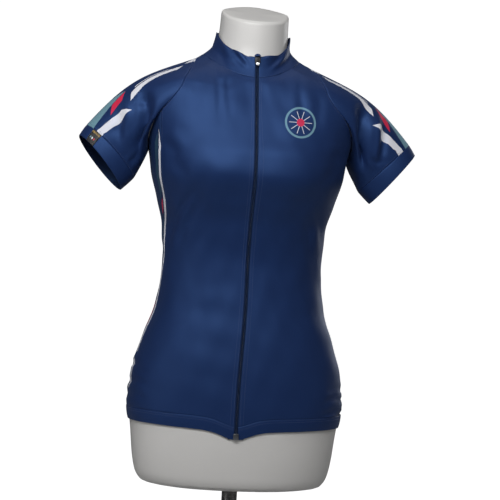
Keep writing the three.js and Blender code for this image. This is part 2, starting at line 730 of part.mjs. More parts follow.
function formSolid() {
  const rows = FORM_LEVELS.map((level) => {
    return Array.from({ length: FORM_COLUMNS }, (_, i) => {
      const angle = (360 * i) / FORM_COLUMNS;
      return figure(angle + FORM_CROWDING * Math.sin(radians(2 * angle)), level);
    });
  });
  const points = rows.flat();
  const triangles = [];
  rows.slice(1).forEach((_, r) => {
    for (let i = 0; i < FORM_COLUMNS; i += 1) {
      const next = (i + 1) % FORM_COLUMNS;
      const [a, b] = [r * FORM_COLUMNS + i, r * FORM_COLUMNS + next];
      triangles.push([a, b, b + FORM_COLUMNS], [a, b + FORM_COLUMNS, a + FORM_COLUMNS]);
    }
  });
  const capped = (first, flip) => {
    const loop = points.slice(first, first + FORM_COLUMNS);
    const middle = loop.reduce((sum, p) => sum.add(p), new THREE.Vector3()).divideScalar(FORM_COLUMNS);
    points.push(middle);
    for (let i = 0; i < FORM_COLUMNS; i += 1) {
      const pair = [first + i, first + ((i + 1) % FORM_COLUMNS)];
      if (flip) pair.reverse();
      triangles.push([pair[0], pair[1], points.length - 1]);
    }
  };
  capped(0, true);
  capped((rows.length - 1) * FORM_COLUMNS, false);
  return geometryOf(points, triangles);
}

function lathe(profile, segments) {
  const points = profile.map(([radius, height]) => new THREE.Vector2(radius, height));
  const geometry = new THREE.LatheGeometry(points, segments);
  geometry.rotateX(Math.PI / 2);
  return geometry;
}

function footSolid() {
  return lathe([
    [0, 0],
    [FOOT_RADIUS, 0],
    [FOOT_RADIUS, FOOT_HEIGHT - FOOT_BEVEL],
    [FOOT_RADIUS - FOOT_BEVEL, FOOT_HEIGHT],
    [0, FOOT_HEIGHT],
  ], FOOT_SIDES);
}

function poleSolid() {
  const formBottom = FIGURE[0].level;
  const length = formBottom - FOOT_HEIGHT - 2 * TOUCH_GAP;
  const geometry = new THREE.CylinderGeometry(POLE_RADIUS, POLE_RADIUS, length, POLE_SIDES);
  geometry.rotateX(Math.PI / 2);
  geometry.translate(0, 0, (formBottom + FOOT_HEIGHT) / 2);
  return geometry;
}

// The pocket panel and its binding are made from the back panel's own points, moved out.
function pocketBulge(column, row) {
  const { firstColumn, lastColumn, lastRow, pockets, bulge, growth, atMouth } = POCKET;
  const across = ((column - firstColumn) / (lastColumn - firstColumn)) * pockets;
  const dome = Math.sin(Math.PI * (across % 1)) ** 2;
  const rise = smooth(row / growth);
  return bulge * dome * rise * mix(1, atMouth, smooth((row - lastRow + growth) / growth));
}

// A point on the back panel's outer face, between its rows, moved out.
function onBack(column, row, offset) {
  const low = Math.floor(row);
  const [from, to] = [low, Math.min(low + 1, PLACES.back.length - 1)].map((r) => PLACES.back[r][column]);
  const point = onFigure(from, OUTER).lerp(onFigure(to, OUTER), row - low);
  return point.addScaledVector(figureNormal(from.angle, mix(from.level, to.level, row - low)), offset);
}

// A grid on the back panel, between two of its rows, over the pockets' columns.
function backGrid(rows, offset) {
  const columns = POCKET.lastColumn - POCKET.firstColumn + 1;
  return rows.map((row) => Array.from({ length: columns }, (_, i) => {
    const column = POCKET.firstColumn + i;
    return onBack(column, row, offset + pocketBulge(column, row));
  }));
}

function pocketPanel() {
  const rows = Array.from({ length: POCKET.lastRow - POCKET.firstRow + 1 }, (_, i) => POCKET.firstRow + i);
  return wall(trimmed(backGrid(rows, LAYER_GAP + CLOTH)), trimmed(backGrid(rows, LAYER_GAP)));
}

function pocketBinding() {
  const rows = [POCKET.lastRow, POCKET.lastRow + POCKET.binding];
  return wall(trimmed(backGrid(rows, LAYER_GAP + CLOTH)), trimmed(backGrid(rows, LAYER_GAP)));
}

const group = new THREE.Group();

function add(name, geometry, colour, { roughness = 0.72, metalness = 0, matrix = new THREE.Matrix4() } = {}) {
  const material = new THREE.MeshStandardMaterial({ color: colour, roughness, metalness });
  const mesh = new THREE.Mesh(geometry, material);
  mesh.name = name;
  matrix.decompose(mesh.position, mesh.quaternion, mesh.scale);
  group.add(mesh);
}

add('foot', footSolid(), COLOURS.pole, { roughness: 0.4, metalness: 0.6 });
add('pole', poleSolid(), COLOURS.pole, { roughness: 0.3, metalness: 0.7 });
add('form', formSolid(), COLOURS.shell, { roughness: 0.45 });
Object.entries(PLACES).forEach(([name, places]) => {
  add(name, panel(places), name.startsWith('side') ? COLOURS.navyDeep : COLOURS.navy);
});
[['left', 1], ['right', -1]].forEach(([name, side]) => {
  add(`sleeve_${name}`, sleeve(side), COLOURS.navy);
  add(`cuff_${name}`, cuff(side), COLOURS.navy);
  add(`zip_${name}`, zipStrip(side), COLOURS.zip, { roughness: 0.5 });
});
add('cuff_tab', cuffTab(), COLOURS.black);
add('hem_band', hemBand(), COLOURS.navy);
add('collar', collar(), COLOURS.navy);
add('pocket_panel', pocketPanel(), COLOURS.navy);
add('pocket_binding', pocketBinding(), COLOURS.navyDeep);

const slider = zipFrame(SLIDER.height);
const bar = slider.clone().multiply(new THREE.Matrix4().makeTranslation(0, TAB.height, TAB.hang));
const boxFrame = zipFrame(hemHeight(0) + ZIP_BOX.above);
const boxPlace = new THREE.Matrix4().makeTranslation(0, ZIP_BOX.depth / 2 + ZIP_BOX.gap, 0);
const box = new THREE.BoxGeometry(ZIP_BOX.width, ZIP_BOX.depth, ZIP_BOX.height);
add('zip_slider', zipSlider(), COLOURS.black, { metalness: 0.6, matrix: slider });
add('zip_bridge', zipBridge(), COLOURS.metal, { metalness: 0.9, matrix: slider });
add('pull_tab', pullTab(), COLOURS.black, { metalness: 0.6, matrix: bar });
add('zip_box', box, COLOURS.metal, { metalness: 0.8, matrix: boxFrame.multiply(boxPlace) });

export default group;
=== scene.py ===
from math import cos, pi, radians, sin, tan

import bmesh
import bpy
import numpy as np
from mathutils import Matrix, Vector


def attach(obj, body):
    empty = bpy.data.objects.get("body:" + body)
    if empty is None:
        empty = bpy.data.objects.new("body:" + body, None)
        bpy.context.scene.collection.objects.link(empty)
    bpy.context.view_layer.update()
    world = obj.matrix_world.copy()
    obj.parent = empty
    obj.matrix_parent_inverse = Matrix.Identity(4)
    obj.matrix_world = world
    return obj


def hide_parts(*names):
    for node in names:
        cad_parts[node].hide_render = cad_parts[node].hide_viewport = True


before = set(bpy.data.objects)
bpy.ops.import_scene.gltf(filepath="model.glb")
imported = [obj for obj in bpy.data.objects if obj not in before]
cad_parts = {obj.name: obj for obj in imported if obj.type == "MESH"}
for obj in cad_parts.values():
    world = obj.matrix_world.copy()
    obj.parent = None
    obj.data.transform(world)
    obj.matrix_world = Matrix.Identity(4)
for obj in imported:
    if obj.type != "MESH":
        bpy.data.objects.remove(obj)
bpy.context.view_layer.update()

bl_info = {
    "name": "Cycling jersey on a dress form",
    "version": (1, 0, 0),
    "blender": (4, 5, 0),
    "location": "View3D > Sidebar > Jersey",
    "description": "Makes the cloth, zip and stand of a cycling jersey on its dress form",
    "category": "Object",
}

# Sizes are in millimetres until a mesh is made. Front is -Y and the wearer's left is +X.
MM = 0.001
JERSEY = "jersey_on_form"


def table(columns, rows):
    """A short table as arrays by column name. Columns of words stay tuples."""
    kept = {}
    for key, values in zip(columns.split(), zip(*rows)):
        kept[key] = values if isinstance(values[0], str) else np.array(values, float)
    return kept


# The figure's rings, as the stand's maker would cut them: heights at the side, front and back,
# the half width, the depths of chest and back, and the ring's squareness, sweep and shift.
FIGURE = table("name level front back half chest spine square sweep shift", [
    ("under edge", 295, 295, 295, 116, 68, 88, 2.2, 2, 0),
    ("under curve", 301, 301, 301, 140, 86, 107, 2.2, 2, 0),
    ("lower seat", 324, 324, 324, 152, 93, 117, 2.2, 2, 0),
    ("seat", 375, 375, 375, 159, 98, 124, 2.2, 2, 0),
    ("hip", 424, 424, 424, 164, 100, 122, 2.2, 2, 0),
    ("high hip", 475, 475, 475, 158, 98, 110, 2.2, 2, 0),
    ("belly", 525, 525, 525, 143.5, 93, 96, 2.2, 2, 0),
    ("low waist", 575, 575, 575, 127, 86, 84, 2.15, 2, 0),
    ("waist", 640, 640, 640, 120.5, 81, 76, 2.1, 2, 0),
    ("ribs", 695, 695, 695, 124, 90, 81, 2.15, 2, 0),
    ("under bust", 735, 735, 735, 134, 106, 88, 2.3, 2, 0),
    ("bust", 776, 774, 776, 145, 121, 95, 2.4, 2, 0),
    ("armpit", 806, 800, 806, 150, 118, 99, 2.45, 2, 0),
    ("chest", 838, 828, 836, 157, 108, 100, 2.5, 2, 0),
    ("shoulder", 872, 856, 866, 164, 97, 97, 2.6, 2, 0),
    ("shoulder tip", 898, 878, 892, 166, 88, 91, 2.6, 2, -1),
    ("crest", 916, 892, 912, 155, 82, 84, 2.6, 2, -1),
    ("slope out", 929, 902, 928, 128, 78, 76, 2.5, 2, 0),
    ("slope in", 944, 912, 944, 96, 74, 67, 2.3, 1.9, -1),
    ("neck root", 957, 922, 960, 73, 69, 57, 2.1, 1.6, -3),
    ("neck low", 974, 943, 980, 57, 63, 49, 2, 1.2, -3),
    ("neck middle", 997, 972, 1008, 53.5, 60, 44, 2, 1, -1),
    ("neck top", 1031, 1009, 1046, 52.5, 60, 42, 2, 1, 0),
])
TILT_SLOPE, TILT_FROM, TILT_TO = 0.016, 840, 900
FULL_DEPTH, FULL_ACROSS, FULL_SPREAD, FULL_HEIGHT, FULL_RISE = 5, 68, 40, 776, 42

# Where the side seams lie, in degrees forward of the side line.
RIGHT_SEAMS = table("level turn", [
    (340, 4),
    (450, 5),
    (600, 5.5),
    (660, 8),
    (695, 12),
    (720, 18),
    (745, 22),
    (776, 24),
    (830, 25),
])
LEFT_SEAMS = table("level turn", [
    (340, 2),
    (450, 2),
    (600, 2),
    (660, 2),
    (695, 3),
    (745, 4),
    (830, 5),
])
SIDE_PANEL_ANGLE = 28

ARMPIT, RAGLAN_POINT, RAGLAN_FRONT, RAGLAN_BACK, RAGLAN_SKEW = 809, 950, 28.5, 27, 0.6
HEM_SIDE, HEM_FRONT_DROP, HEM_BACK_DROP, HEM_BAND = 394, 5, 34, 20
ZIP_DROP, ZIP_DROP_WIDTH, ZIP_HALF = 12, 28, 2.9
ZIP_SHIFT, ZIP_SHIFT_TOP, ZIP_SHIFT_RUN = -6, 600, 175
COLLAR_BASE, COLLAR_SIDE, COLLAR_FRONT, COLLAR_BACK, COLLAR_FLARE = 957, 996, 955, 1009, 0.8
OUTER = 3.5

# Sleeve rings for the wearer's left: centre across and up, place in depth, half sizes, lean.
SLEEVE_RINGS = table("name x z y long lean short square tilted", [
    ("cap", 161, 861.5, 3, 57.5, 4, 77, 2.5, 1),
    ("bend", 178, 849.5, 1, 68, 8, 50, 2.2, 0.4),
    ("band seam", 213.5, 801, -6, 54.5, 45, 37, 2, 0),
    ("cuff edge", 228, 783.5, -9, 52.5, 40.5, 35, 2, 0),
])
CUFF_TURN = {-1: 9, 1: 2}
UNDERARM_DROP = {-1: 9, 1: 1}
SHOULDER_LIFT = {-1: 2, 1: 0}
MITRE = 0.16

# Folds where each empty sleeve falls from the shoulder's tip, at a distance across.
SLEEVE_FOLDS = table("name face x width depth bottom top", [
    ("front fall", 1, 171, 11, 10, 790, 905),
    ("front ridge", 1, 189, 8, -3, 795, 885),
    ("front second fall", 1, 203, 7, 4, 800, 872),
    ("back fall", -1, 172, 12, 10, 790, 905),
    ("back ridge", -1, 191, 9, -3, 795, 885),
])
FOLD_FADE = 30

# Creases of the cloth. A piece's face tells where u runs: across for front and back,
# in depth for the sides. bow bends the line, and a negative depth is a ridge.
CREASES = table("face u_from z_from u_to z_to bow width depth", [
    ("front", -62, 905, -20, 930, 4, 7, 0.8),
    ("front", -64, 945, -56, 838, -3, 5, 1.3),
    ("front", -46, 936, -40, 850, 2, 6, 1.0),
    ("front", -88, 925, -84, 846, 3, 7, 1.1),
    ("front", 66, 938, 74, 850, 3, 6, 1.0),
    ("front", 94, 915, 92, 840, -3, 7, 1.0),
    ("front", -146, 820, -112, 790, -6, 9, 2.2),
    ("front", -140, 800, -96, 758, -5, 8, 1.4),
    ("front", -128, 846, -104, 800, 4, 8, -1.2),
    ("front", 146, 815, 118, 792, 6, 9, 2.0),
    ("front", 142, 798, 104, 764, 4, 8, 1.2),
    ("front", -124, 640, -82, 762, -7, 5, 2.0),
    ("front", -108, 640, -66, 752, -6, 6, 1.6),
    ("front", -90, 628, -56, 706, -5, 8, 1.0),
    ("front", -112, 700, -70, 790, 6, 9, 0.9),
    ("front", 116, 655, 96, 740, 7, 6, 1.5),
    ("front", 100, 640, 78, 716, 6, 8, 1.0),
    ("front", -60, 700, 60, 702, -10, 16, 0.8),
    ("front", -96, 612, -30, 604, 6, 12, 0.6),
    ("front", 40, 596, 100, 610, 6, 12, 0.7),
    ("front", 122, 418, 162, 428, 3, 3.5, 2.2),
    ("front", 128, 434, 164, 444, -3, 3.5, 2.0),
    ("front", 132, 452, 156, 458, 2, 5, 0.8),
    ("front", -162, 476, -136, 466, 2, 4, 1.8),
    ("front", -164, 458, -134, 448, -2, 4, 1.6),
    ("front", -158, 436, -138, 428, 2, 4.5, 1.2),
    ("left", -62, 420, 44, 414, 4, 3.8, 2.4),
    ("left", -58, 436, 52, 431, -4, 3.8, 2.2),
    ("left", -50, 456, 40, 450, 3, 5, 1.6),
    ("right", -60, 478, 40, 472, -4, 4.2, 2.0),
    ("right", -58, 458, 46, 452, 4, 4.2, 2.0),
    ("right", -50, 430, 50, 424, -4, 5, 1.5),
    ("left", -20, 655, 60, 668, 5, 8, 1.2),
    ("left", -30, 632, 58, 640, -6, 9, 0.9),
    ("right", -24, 650, 60, 662, -5, 9, 1.0),
    ("back", -70, 640, 66, 652, 9, 10, 1.6),
    ("back", -96, 662, 20, 672, -8, 9, 1.0),
    ("back", -60, 850, -118, 806, 6, 10, 1.5),
    ("back", 64, 846, 120, 808, -6, 10, 1.3),
    ("back", -40, 895, 52, 902, 8, 12, 0.8),
    ("back", -30, 760, 24, 700, 8, 14, 0.8),
])

# The soft waves of a knit that isn't ironed: how many go round the body, how they climb in
# radians per mm, where they start and their heights.
WAVES = table("around up phase height", [
    (9, 0.041, 0.4, 0.34),
    (14, -0.060, 1.9, 0.26),
    (4, 0.129, 2.7, 0.22),
    (24, 0.075, 4.1, 0.12),
])
# The waves begin beside the zip, over so many degrees.
WAVES_FADE = 14
# How a face's creases fade round the body and each crease towards its ends, and the soft shoulders
# beside a crease as shares of its depth and width.
FACE_FADE, END_FADE, SHOULDER, SHOULDER_AWAY = 0.4, 0.4, 0.3, 1.9


def clamp01(x):
    return np.clip(x, 0, 1)


def smooth(x):
    t = clamp01(x)
    return t * t * (3 - 2 * t)


def mix(a, b, t):
    return a + (b - a) * t


def bell(x, width):
    return np.exp(-((x / width) ** 2))


def unit(v):
    return v / np.maximum(np.linalg.norm(v, axis=-1, keepdims=True), 1e-12)


def smooth_column(levels, values):
    """A smooth curve through a table's column that never overshoots its rows."""
    x, y = np.array(levels, float), np.array(values, float)
    run, slope = np.diff(x), np.diff(y) / np.diff(x)
    before, after = slope[:-1], slope[1:]
    bends = before * after > 0
    wide, near = run[:-1], run[1:]
    safe_before, safe_after = np.where(bends, before, 1), np.where(bends, after, 1)
    mean = 3 * (wide + near) / ((2 * near + wide) / safe_before + (near + 2 * wide) / safe_after)
    tangent = np.concatenate([slope[:1], np.where(bends, mean, 0), slope[-1:]])

    def curve(at):
        at = np.clip(at, x[0], x[-1])
        i = np.clip(np.searchsorted(x, at, side="right") - 1, 0, len(x) - 2)
        t = (at - x[i]) / run[i]
        t2, t3 = t * t, t * t * t
        starts = (2 * t3 - 3 * t2 + 1) * y[i] + (t3 - 2 * t2 + t) * run[i] * tangent[i]
        return starts + (3 * t2 - 2 * t3) * y[i + 1] + (t3 - t2) * run[i] * tangent[i + 1]

    return curve


RING = {key: smooth_column(FIGURE["level"], FIGURE[key]) for key in FIGURE if key not in ("name", "level")}
SEAM_FORWARD = {
    -1: smooth_column(*RIGHT_SEAMS.values()),
    1: smooth_column(*LEFT_SEAMS.values()),
}


def figure(angle, level):
    """The figure's surface. angle is in degrees round the axis, 0 at the front and +90 at the left."""
    angle, level = np.broadcast_arrays(np.asarray(angle, float), np.asarray(level, float))
    s, c = np.sin(np.radians(angle)), np.cos(np.radians(angle))
    ahead = c > 0
    power = RING["square"](level)
    depth = np.where(ahead, RING["chest"](level), RING["spine"](level))
    reach = (np.abs(s) / RING["half"](level)) ** power + (np.abs(c) / depth) ** power
    radius = reach ** (-1 / power)
    lift = np.where(ahead, RING["front"](level), RING["back"](level)) - level
    z = level + lift * np.abs(c) ** RING["sweep"](level)
    x = radius * s
    tilt = -TILT_SLOPE * x * smooth((level - TILT_FROM) / (TILT_TO - TILT_FROM))
    swell = bell(np.abs(x) - FULL_ACROSS, FULL_SPREAD) * bell(z - FULL_HEIGHT, FULL_RISE)
    full = np.where(ahead, FULL_DEPTH * swell, 0)
    return np.stack([x + RING["shift"](level), -radius * c - full, z + tilt], -1)


def figure_normal(angle, level):
    across = figure(angle + 0.5, level) - figure(angle - 0.5, level)
    up = figure(angle, level + 0.5) - figure(angle, level - 0.5)
    return unit(np.cross(across, up))


def bisect(too_low, low, high, like):
    """Narrows low and high by halves, as arrays of like's shape."""
    low, high = np.full(np.shape(like), float(low)), np.full(np.shape(like), float(high))
    for _ in range(36):
        middle = (low + high) / 2
        under = too_low(middle)
        low, high = np.where(under, middle, low), np.where(under, high, middle)
    return low


def level_at_height(angle, z):
    angle, z = np.broadcast_arrays(np.asarray(angle, float), np.asarray(z, float))
    return bisect(lambda m: figure(angle, m)[..., 2] < z, FIGURE["level"][0], FIGURE["level"][-1], z)


def angle_at_x(x, level):
    x, level = np.broadcast_arrays(np.asarray(x, float), np.asarray(level, float))
    return bisect(lambda m: figure(m, level)[..., 0] < x, -60, 60, x)


def zip_x(level):
    return ZIP_SHIFT * smooth((ZIP_SHIFT_TOP - level) / ZIP_SHIFT_RUN)


def hem_height(angle):
    c = np.cos(np.radians(angle))
    x = figure(angle, HEM_SIDE)[..., 0] - zip_x(HEM_SIDE)
    front = HEM_SIDE - HEM_FRONT_DROP * c**2 - ZIP_DROP * bell(x, ZIP_DROP_WIDTH)
    return np.where(c > 0, front, HEM_SIDE - HEM_BACK_DROP * c**2)


def collar_height(angle):
    c = np.cos(np.radians(angle))
    front = mix(COLLAR_SIDE, COLLAR_FRONT, np.abs(c) ** 1.3)
    return np.where(c > 0, front, mix(COLLAR_SIDE, COLLAR_BACK, c**2))


def hem_level(angle):
    return level_at_height(angle, hem_height(angle))


def band_level(angle):
    return level_at_height(angle, hem_height(angle) + HEM_BAND)


def raglan(side, turn):
    """Angle and level on the raglan seam. turn is 0 at the collar's point and 180 at the armpit."""
    s, c = np.sin(np.radians(turn)), np.cos(np.radians(turn))
    width = np.where(s > 0, RAGLAN_FRONT, RAGLAN_BACK)
    angle = 90 - width * s * (1 + RAGLAN_SKEW * c)
    return side * angle, mix(ARMPIT, RAGLAN_POINT, (1 + c) / 2)


def seam_angle(side, level, edge):
    front = 90 - SEAM_FORWARD[side](level)
    return front if edge == "front" else front + SIDE_PANEL_ANGLE


def crossing(side, edge):
    """The turn at which the raglan seam meets a side seam."""
    def outside(turn):
        angle, level = raglan(side, turn)
        past = np.abs(angle) - seam_angle(side, level, edge)
        return past < 0 if edge == "front" else past > 0

    return float(bisect(outside, 90 if edge == "front" else 270, 180, 0.0))


# Steps near a cut edge, in mm from it, which its rounding needs.
EDGE = np.array([0, 0.15, 0.45, 1.0, 1.9, 3.0])
# Each run of cloth in mm, and its even steps between the finer ones at its cut edges.
RUNS = {
    "front": (130, 44),
    "back": (300, 88),
    "lower seam": (410, 96),
    "neck rise": (7, 3),
    "pocket": (245, 78),
    "sleeve": (150, 48),
    "cuff": (21, 8),
    "collar": (420, 120),
    "collar height": (38, 16),
    "hem": (1010, 260),
    "hem band": (20, 8),
}


def spaced(run, first=True, last=True):
    """Even shares from 0 to 1 along a run of cloth, with finer ones near its cut edges."""
    length, count = RUNS[run]
    low = EDGE / length if first else np.array([0.0])
    high = 1 - EDGE[::-1] / length if last else np.array([1.0])
    middle = np.linspace(low[-1], high[0], count + 1)[1:-1]
    return np.concatenate([low, middle, high])


EDGE_STEPS, UNDER_STEPS = 46, 28


def raglan_turns(side):
    """Turns round the raglan seam, evenly spaced along it, with the side seams at known steps."""
    dense = np.linspace(0, 360, 1441)
    path = figure(*raglan(side, dense))
    run = np.concatenate([[0], np.cumsum(np.linalg.norm(np.diff(path, axis=0), axis=1))])
    stops = np.interp([0, crossing(side, "front"), crossing(side, "back"), 360], dense, run)
    steps = (EDGE_STEPS, UNDER_STEPS, EDGE_STEPS)
    even = [np.linspace(a, b, n, endpoint=False) for a, b, n in zip(stops, stops[1:], steps)]
    return np.interp(np.concatenate(even), run, dense)


SIDES = {"left": 1, "right": -1}
TURNS = {side: raglan_turns(side) for side in (1, -1)}
FRONT_MEET, BACK_MEET = EDGE_STEPS, EDGE_STEPS + UNDER_STEPS
HEM_FOOT = float(band_level(90.0))
LOWER = spaced("lower seam", last=False)[:-1]
NECK_RISE = spaced("neck rise", first=False)[1:]


def outer_edge(side, edge):
    """Angle, level and share of a panel's edge away from its middle: side seam, raglan, shoulder."""
    turns = TURNS[side]
    along = turns[: FRONT_MEET + 1][::-1] if edge == "front" else np.append(turns[BACK_MEET:], 360)
    loop_angle, loop_level = raglan(side, along)
    lower = mix(HEM_FOOT, loop_level[0], LOWER)
    angle = [side * seam_angle(side, lower, edge), loop_angle, np.full(len(NECK_RISE), side * 90.0)]
    level = [lower, loop_level, mix(RAGLAN_POINT, COLLAR_BASE, NECK_RISE)]
    share = np.concatenate([LOWER, np.ones(len(loop_angle) + len(NECK_RISE))])
    return np.concatenate(angle), np.concatenate(level), share


def zip_edge(side, level, away=ZIP_HALF):
    return angle_at_x(zip_x(level) + side * away, level)


def settle_foot(angle, level, share):
    """Moves a grid's lowest row onto the hem band's upper edge, and those above less and less."""
    lift = band_level(angle[0]) - level[0]
    return level + lift * (1 - smooth(share))[:, None]


def ruled(first, last, t):
    return [mix(a[:, None], b[:, None], t) for a, b in zip(first, last)]


def front_places(side):
    angle, level, share = outer_edge(side, "front")
    t = spaced("front")
    grid_angle, grid_level = ruled((zip_edge(side, level), level), (angle, level), t)
    grid_level = settle_foot(grid_angle, grid_level, share)
    shift = zip_edge(side, grid_level[:, 0]) - grid_angle[:, 0]
    return grid_angle + shift[:, None] * (1 - t), grid_level


def back_places(shares=None, t=None):
    """The whole back panel, or the part of it at some shares of its lower seams."""
    left_angle, left_level, left_share = outer_edge(1, "back")
    right_angle, right_level, _ = outer_edge(-1, "back")
    if shares is not None:
        seam = slice(0, len(LOWER) + 1)
        left_level, right_level = (
            np.interp(shares, left_share[seam], level[seam]) for level in (left_level, right_level))
        left_angle = seam_angle(1, left_level, "back")
        right_angle = -seam_angle(-1, right_level, "back")
        left_share = shares
    t = spaced("back") if t is None else t
    grid = ruled((left_angle, left_level), (right_angle + 360, right_level), t)
    foot = back_foot(t)
    return grid[0], grid[1] + foot * (1 - smooth(left_share))[:, None]


def back_foot(t):
    """How far the back's lowest row moves to meet the hem band."""
    angle = mix(seam_angle(1, HEM_FOOT, "back"), 360 - seam_angle(-1, HEM_FOOT, "back"), t)
    return band_level(angle) - HEM_FOOT


def side_places(side):
    top_angle, top_level = raglan(side, TURNS[side][FRONT_MEET : BACK_MEET + 1])
    across = np.linspace(0, 1, len(top_angle))
    share = np.concatenate([LOWER, 1 - EDGE[:0:-1] / RUNS["lower seam"][0], [1.0]])[:, None]

    def seam_at(level):
        return mix(seam_angle(side, level, "front"), seam_angle(side, level, "back"), across)

    level = mix(HEM_FOOT, top_level, share)
    drawn = np.abs(top_angle) - seam_at(top_level)
    angle = side * (seam_at(level) + drawn * share**4)
    return angle, settle_foot(angle, level, share[:, 0])


def crease_depth(points, angle):
    """How far the creases draw the body's cloth inwards at its points."""
    x, y, z = points[..., 0], points[..., 1], points[..., 2]
    s, c = np.sin(np.radians(angle)), np.cos(np.radians(angle))
    facing = {"front": c, "back": -c, "left": s, "right": -s}
    seen = {face: smooth(value / FACE_FADE) for face, value in facing.items()}
    total = np.zeros_like(x)
    for row in zip(*CREASES.values()):
        total += seen[row[0]] * one_crease(x if row[0] in ("front", "back") else y, z, *row[1:])
    return total


def one_crease(u, z, u_from, z_from, u_to, z_to, bow, width, depth):
    """A trough along a bowed line that fades at its ends, with a soft shoulder on each side."""
    run = np.hypot(u_to - u_from, z_to - z_from)
    du, dz = (u_to - u_from) / run, (z_to - z_from) / run
    along = ((u - u_from) * du + (z - z_from) * dz) / run
    away = (u - u_from) * dz - (z - z_from) * du - 4 * bow * clamp01(along) * (1 - clamp01(along))
    fade = smooth(along / END_FADE) * smooth((1 - along) / END_FADE)
    return depth * fade * (bell(away, width) - SHOULDER * bell(np.abs(away) - SHOULDER_AWAY * width, width))


def wave_height(points):
    """The even, low waviness of the knit."""
    around = np.arctan2(points[..., 0], -points[..., 1])[..., None]
    turns = around * WAVES["around"] + points[..., 2:] * WAVES["up"]
    return (np.sin(turns + WAVES["phase"]) * WAVES["height"]).sum(-1)


def edge_turn(distance, reach, depth):
    """How far a cloth edge rounds away at a distance from it, as a quarter of an ellipse."""
    t = 1 - clamp01(distance / reach)
    return depth * (1 - np.sqrt(np.maximum(1 - t * t, 0)))


def path_lengths(grid, axis):
    step = np.linalg.norm(np.diff(grid, axis=axis), axis=-1)
    zero = np.zeros_like(np.take(step, [0], axis))
    return np.concatenate([zero, np.cumsum(step, axis=axis)], axis)


def border_distances(grid):
    """The distance of a grid's points from its bottom, top, first and last edges."""
    up, across = path_lengths(grid, 0), path_lengths(grid, 1)
    return up, up[-1:] - up, across, across[:, -1:] - across


# How a cloth edge is rounded: how far from the edge, and how much its face and its back turn, in mm.
SEWN = (1.7, 0.62, 0)
DOUBLED_EDGE = (0.8, 0.55, 0.5)
BAND_END = (0.8, 0.5, 0.5)
HEM_EDGE = (0.9, 0.6, 0.6)
POCKET_SEAM = (1.6, 0.6, 0)
BINDING_EDGE = (1.0, 0.6, 0)
# The same beside the zip, where the turns are shares of the cloth's thickness.
ZIP_FOLD = (0.6, 0.5, 0.42)
# How far the cloth keeps off the form, and the least wall at a panel's and at a band's edge.
OFF_FORM, LEAST_PANEL, LEAST_BAND = 0.35, 0.15, 0.12


def cloth_grids(base, normal, outer, inner, edges, least, flat=None):
    """Outer and inner points of a wall of cloth, with its bottom, top, first and last edges rounded."""
    for distance, (reach, face, back) in zip(border_distances(base if flat is None else flat), edges):
        outer = outer - edge_turn(distance, reach, face)
        inner = inner + edge_turn(distance, reach, back)
    return base + normal * outer[..., None], base + normal * np.minimum(inner, outer - least)[..., None]


def body_cloth(angle, level, folded=False):
    """Outer and inner points of a panel of the body. A front is folded, not sewn, beside the zip."""
    base, normal = figure(angle, level), figure_normal(angle, level)
    flat = base + normal * OUTER
    cloth = sizes().cloth / MM
    waviness = wave_height(flat) * smooth(angle_from_zip(angle) / WAVES_FADE)
    outer = np.maximum(OUTER - crease_depth(flat, angle) + waviness, cloth + OFF_FORM)
    first = (ZIP_FOLD[0], ZIP_FOLD[1] * cloth, ZIP_FOLD[2] * cloth) if folded else SEWN
    return cloth_grids(base, normal, outer, outer - cloth, (SEWN, SEWN, first, SEWN), LEAST_PANEL, flat)


def angle_from_zip(angle):
    return np.abs((np.asarray(angle) + 180) % 360 - 180)


def ring_point(side, name, turn):
    row = SLEEVE_RINGS["name"].index(name)
    shape = {key: SLEEVE_RINGS[key][row] for key in SLEEVE_RINGS}
    free = name in ("band seam", "cuff edge")
    s, c = np.sin(np.radians(turn)), np.cos(np.radians(turn))
    s, c = (np.sign(v) * np.abs(v) ** (2 / shape["square"]) for v in (s, c))
    lean, yaw = radians(shape["lean"]), radians(CUFF_TURN[side] if free else 0)
    forward = shape["short"] * s
    sag = 0 if free else SHOULDER_LIFT[side] * (1 + c) / 2 - UNDERARM_DROP[side] * (1 - c) / 2
    tilt = -side * TILT_SLOPE * shape["x"] * shape["tilted"]
    x = shape["x"] + shape["long"] * c * sin(lean) - forward * sin(yaw) * cos(lean)
    y = shape["y"] - forward * cos(yaw)
    z = shape["z"] + shape["long"] * c * cos(lean) + forward * sin(yaw) * sin(lean)
    return np.stack([side * x, y, z + sag + tilt], -1)


def sleeve_point(side, turn, along):
    angle, level = raglan(side, turn)
    start = figure(angle, level) + figure_normal(angle, level) * OUTER
    cap, bend, seam = (ring_point(side, name, turn) for name in ("cap", "bend", "band seam"))
    t = np.asarray(along, float)[..., None]
    back = 1 - t
    return start * back**3 + cap * 3 * back**2 * t + bend * 3 * back * t**2 + seam * t**3


def sleeve_normal(side, turn, along):
    near, far = np.maximum(0, along - 0.01), np.minimum(1, along + 0.01)
    around = sleeve_point(side, turn + 1, along) - sleeve_point(side, turn - 1, along)
    down = sleeve_point(side, turn, far) - sleeve_point(side, turn, near)
    return unit(np.cross(around, down)) * side


def fold_depth(turn, point):
    total = 0
    for _, face, x, width, depth, bottom, top in zip(*SLEEVE_FOLDS.values()):
        shown = smooth(face * np.sin(np.radians(turn)) * 2)
        fade = smooth((point[..., 2] - bottom) / FOLD_FADE) * smooth((top - point[..., 2]) / FOLD_FADE)
        total = total + depth * shown * fade * bell(np.abs(point[..., 0]) - x, width)
    return total


def rim(side, turn):
    middle = (ring_point(side, "band seam", 0.0) + ring_point(side, "band seam", 180.0)) / 2
    return unit(ring_point(side, "band seam", turn) - middle)


# How near a seam the sleeves' creases fade, as a share of the sleeve's length.
SEAM_FADE = 0.1
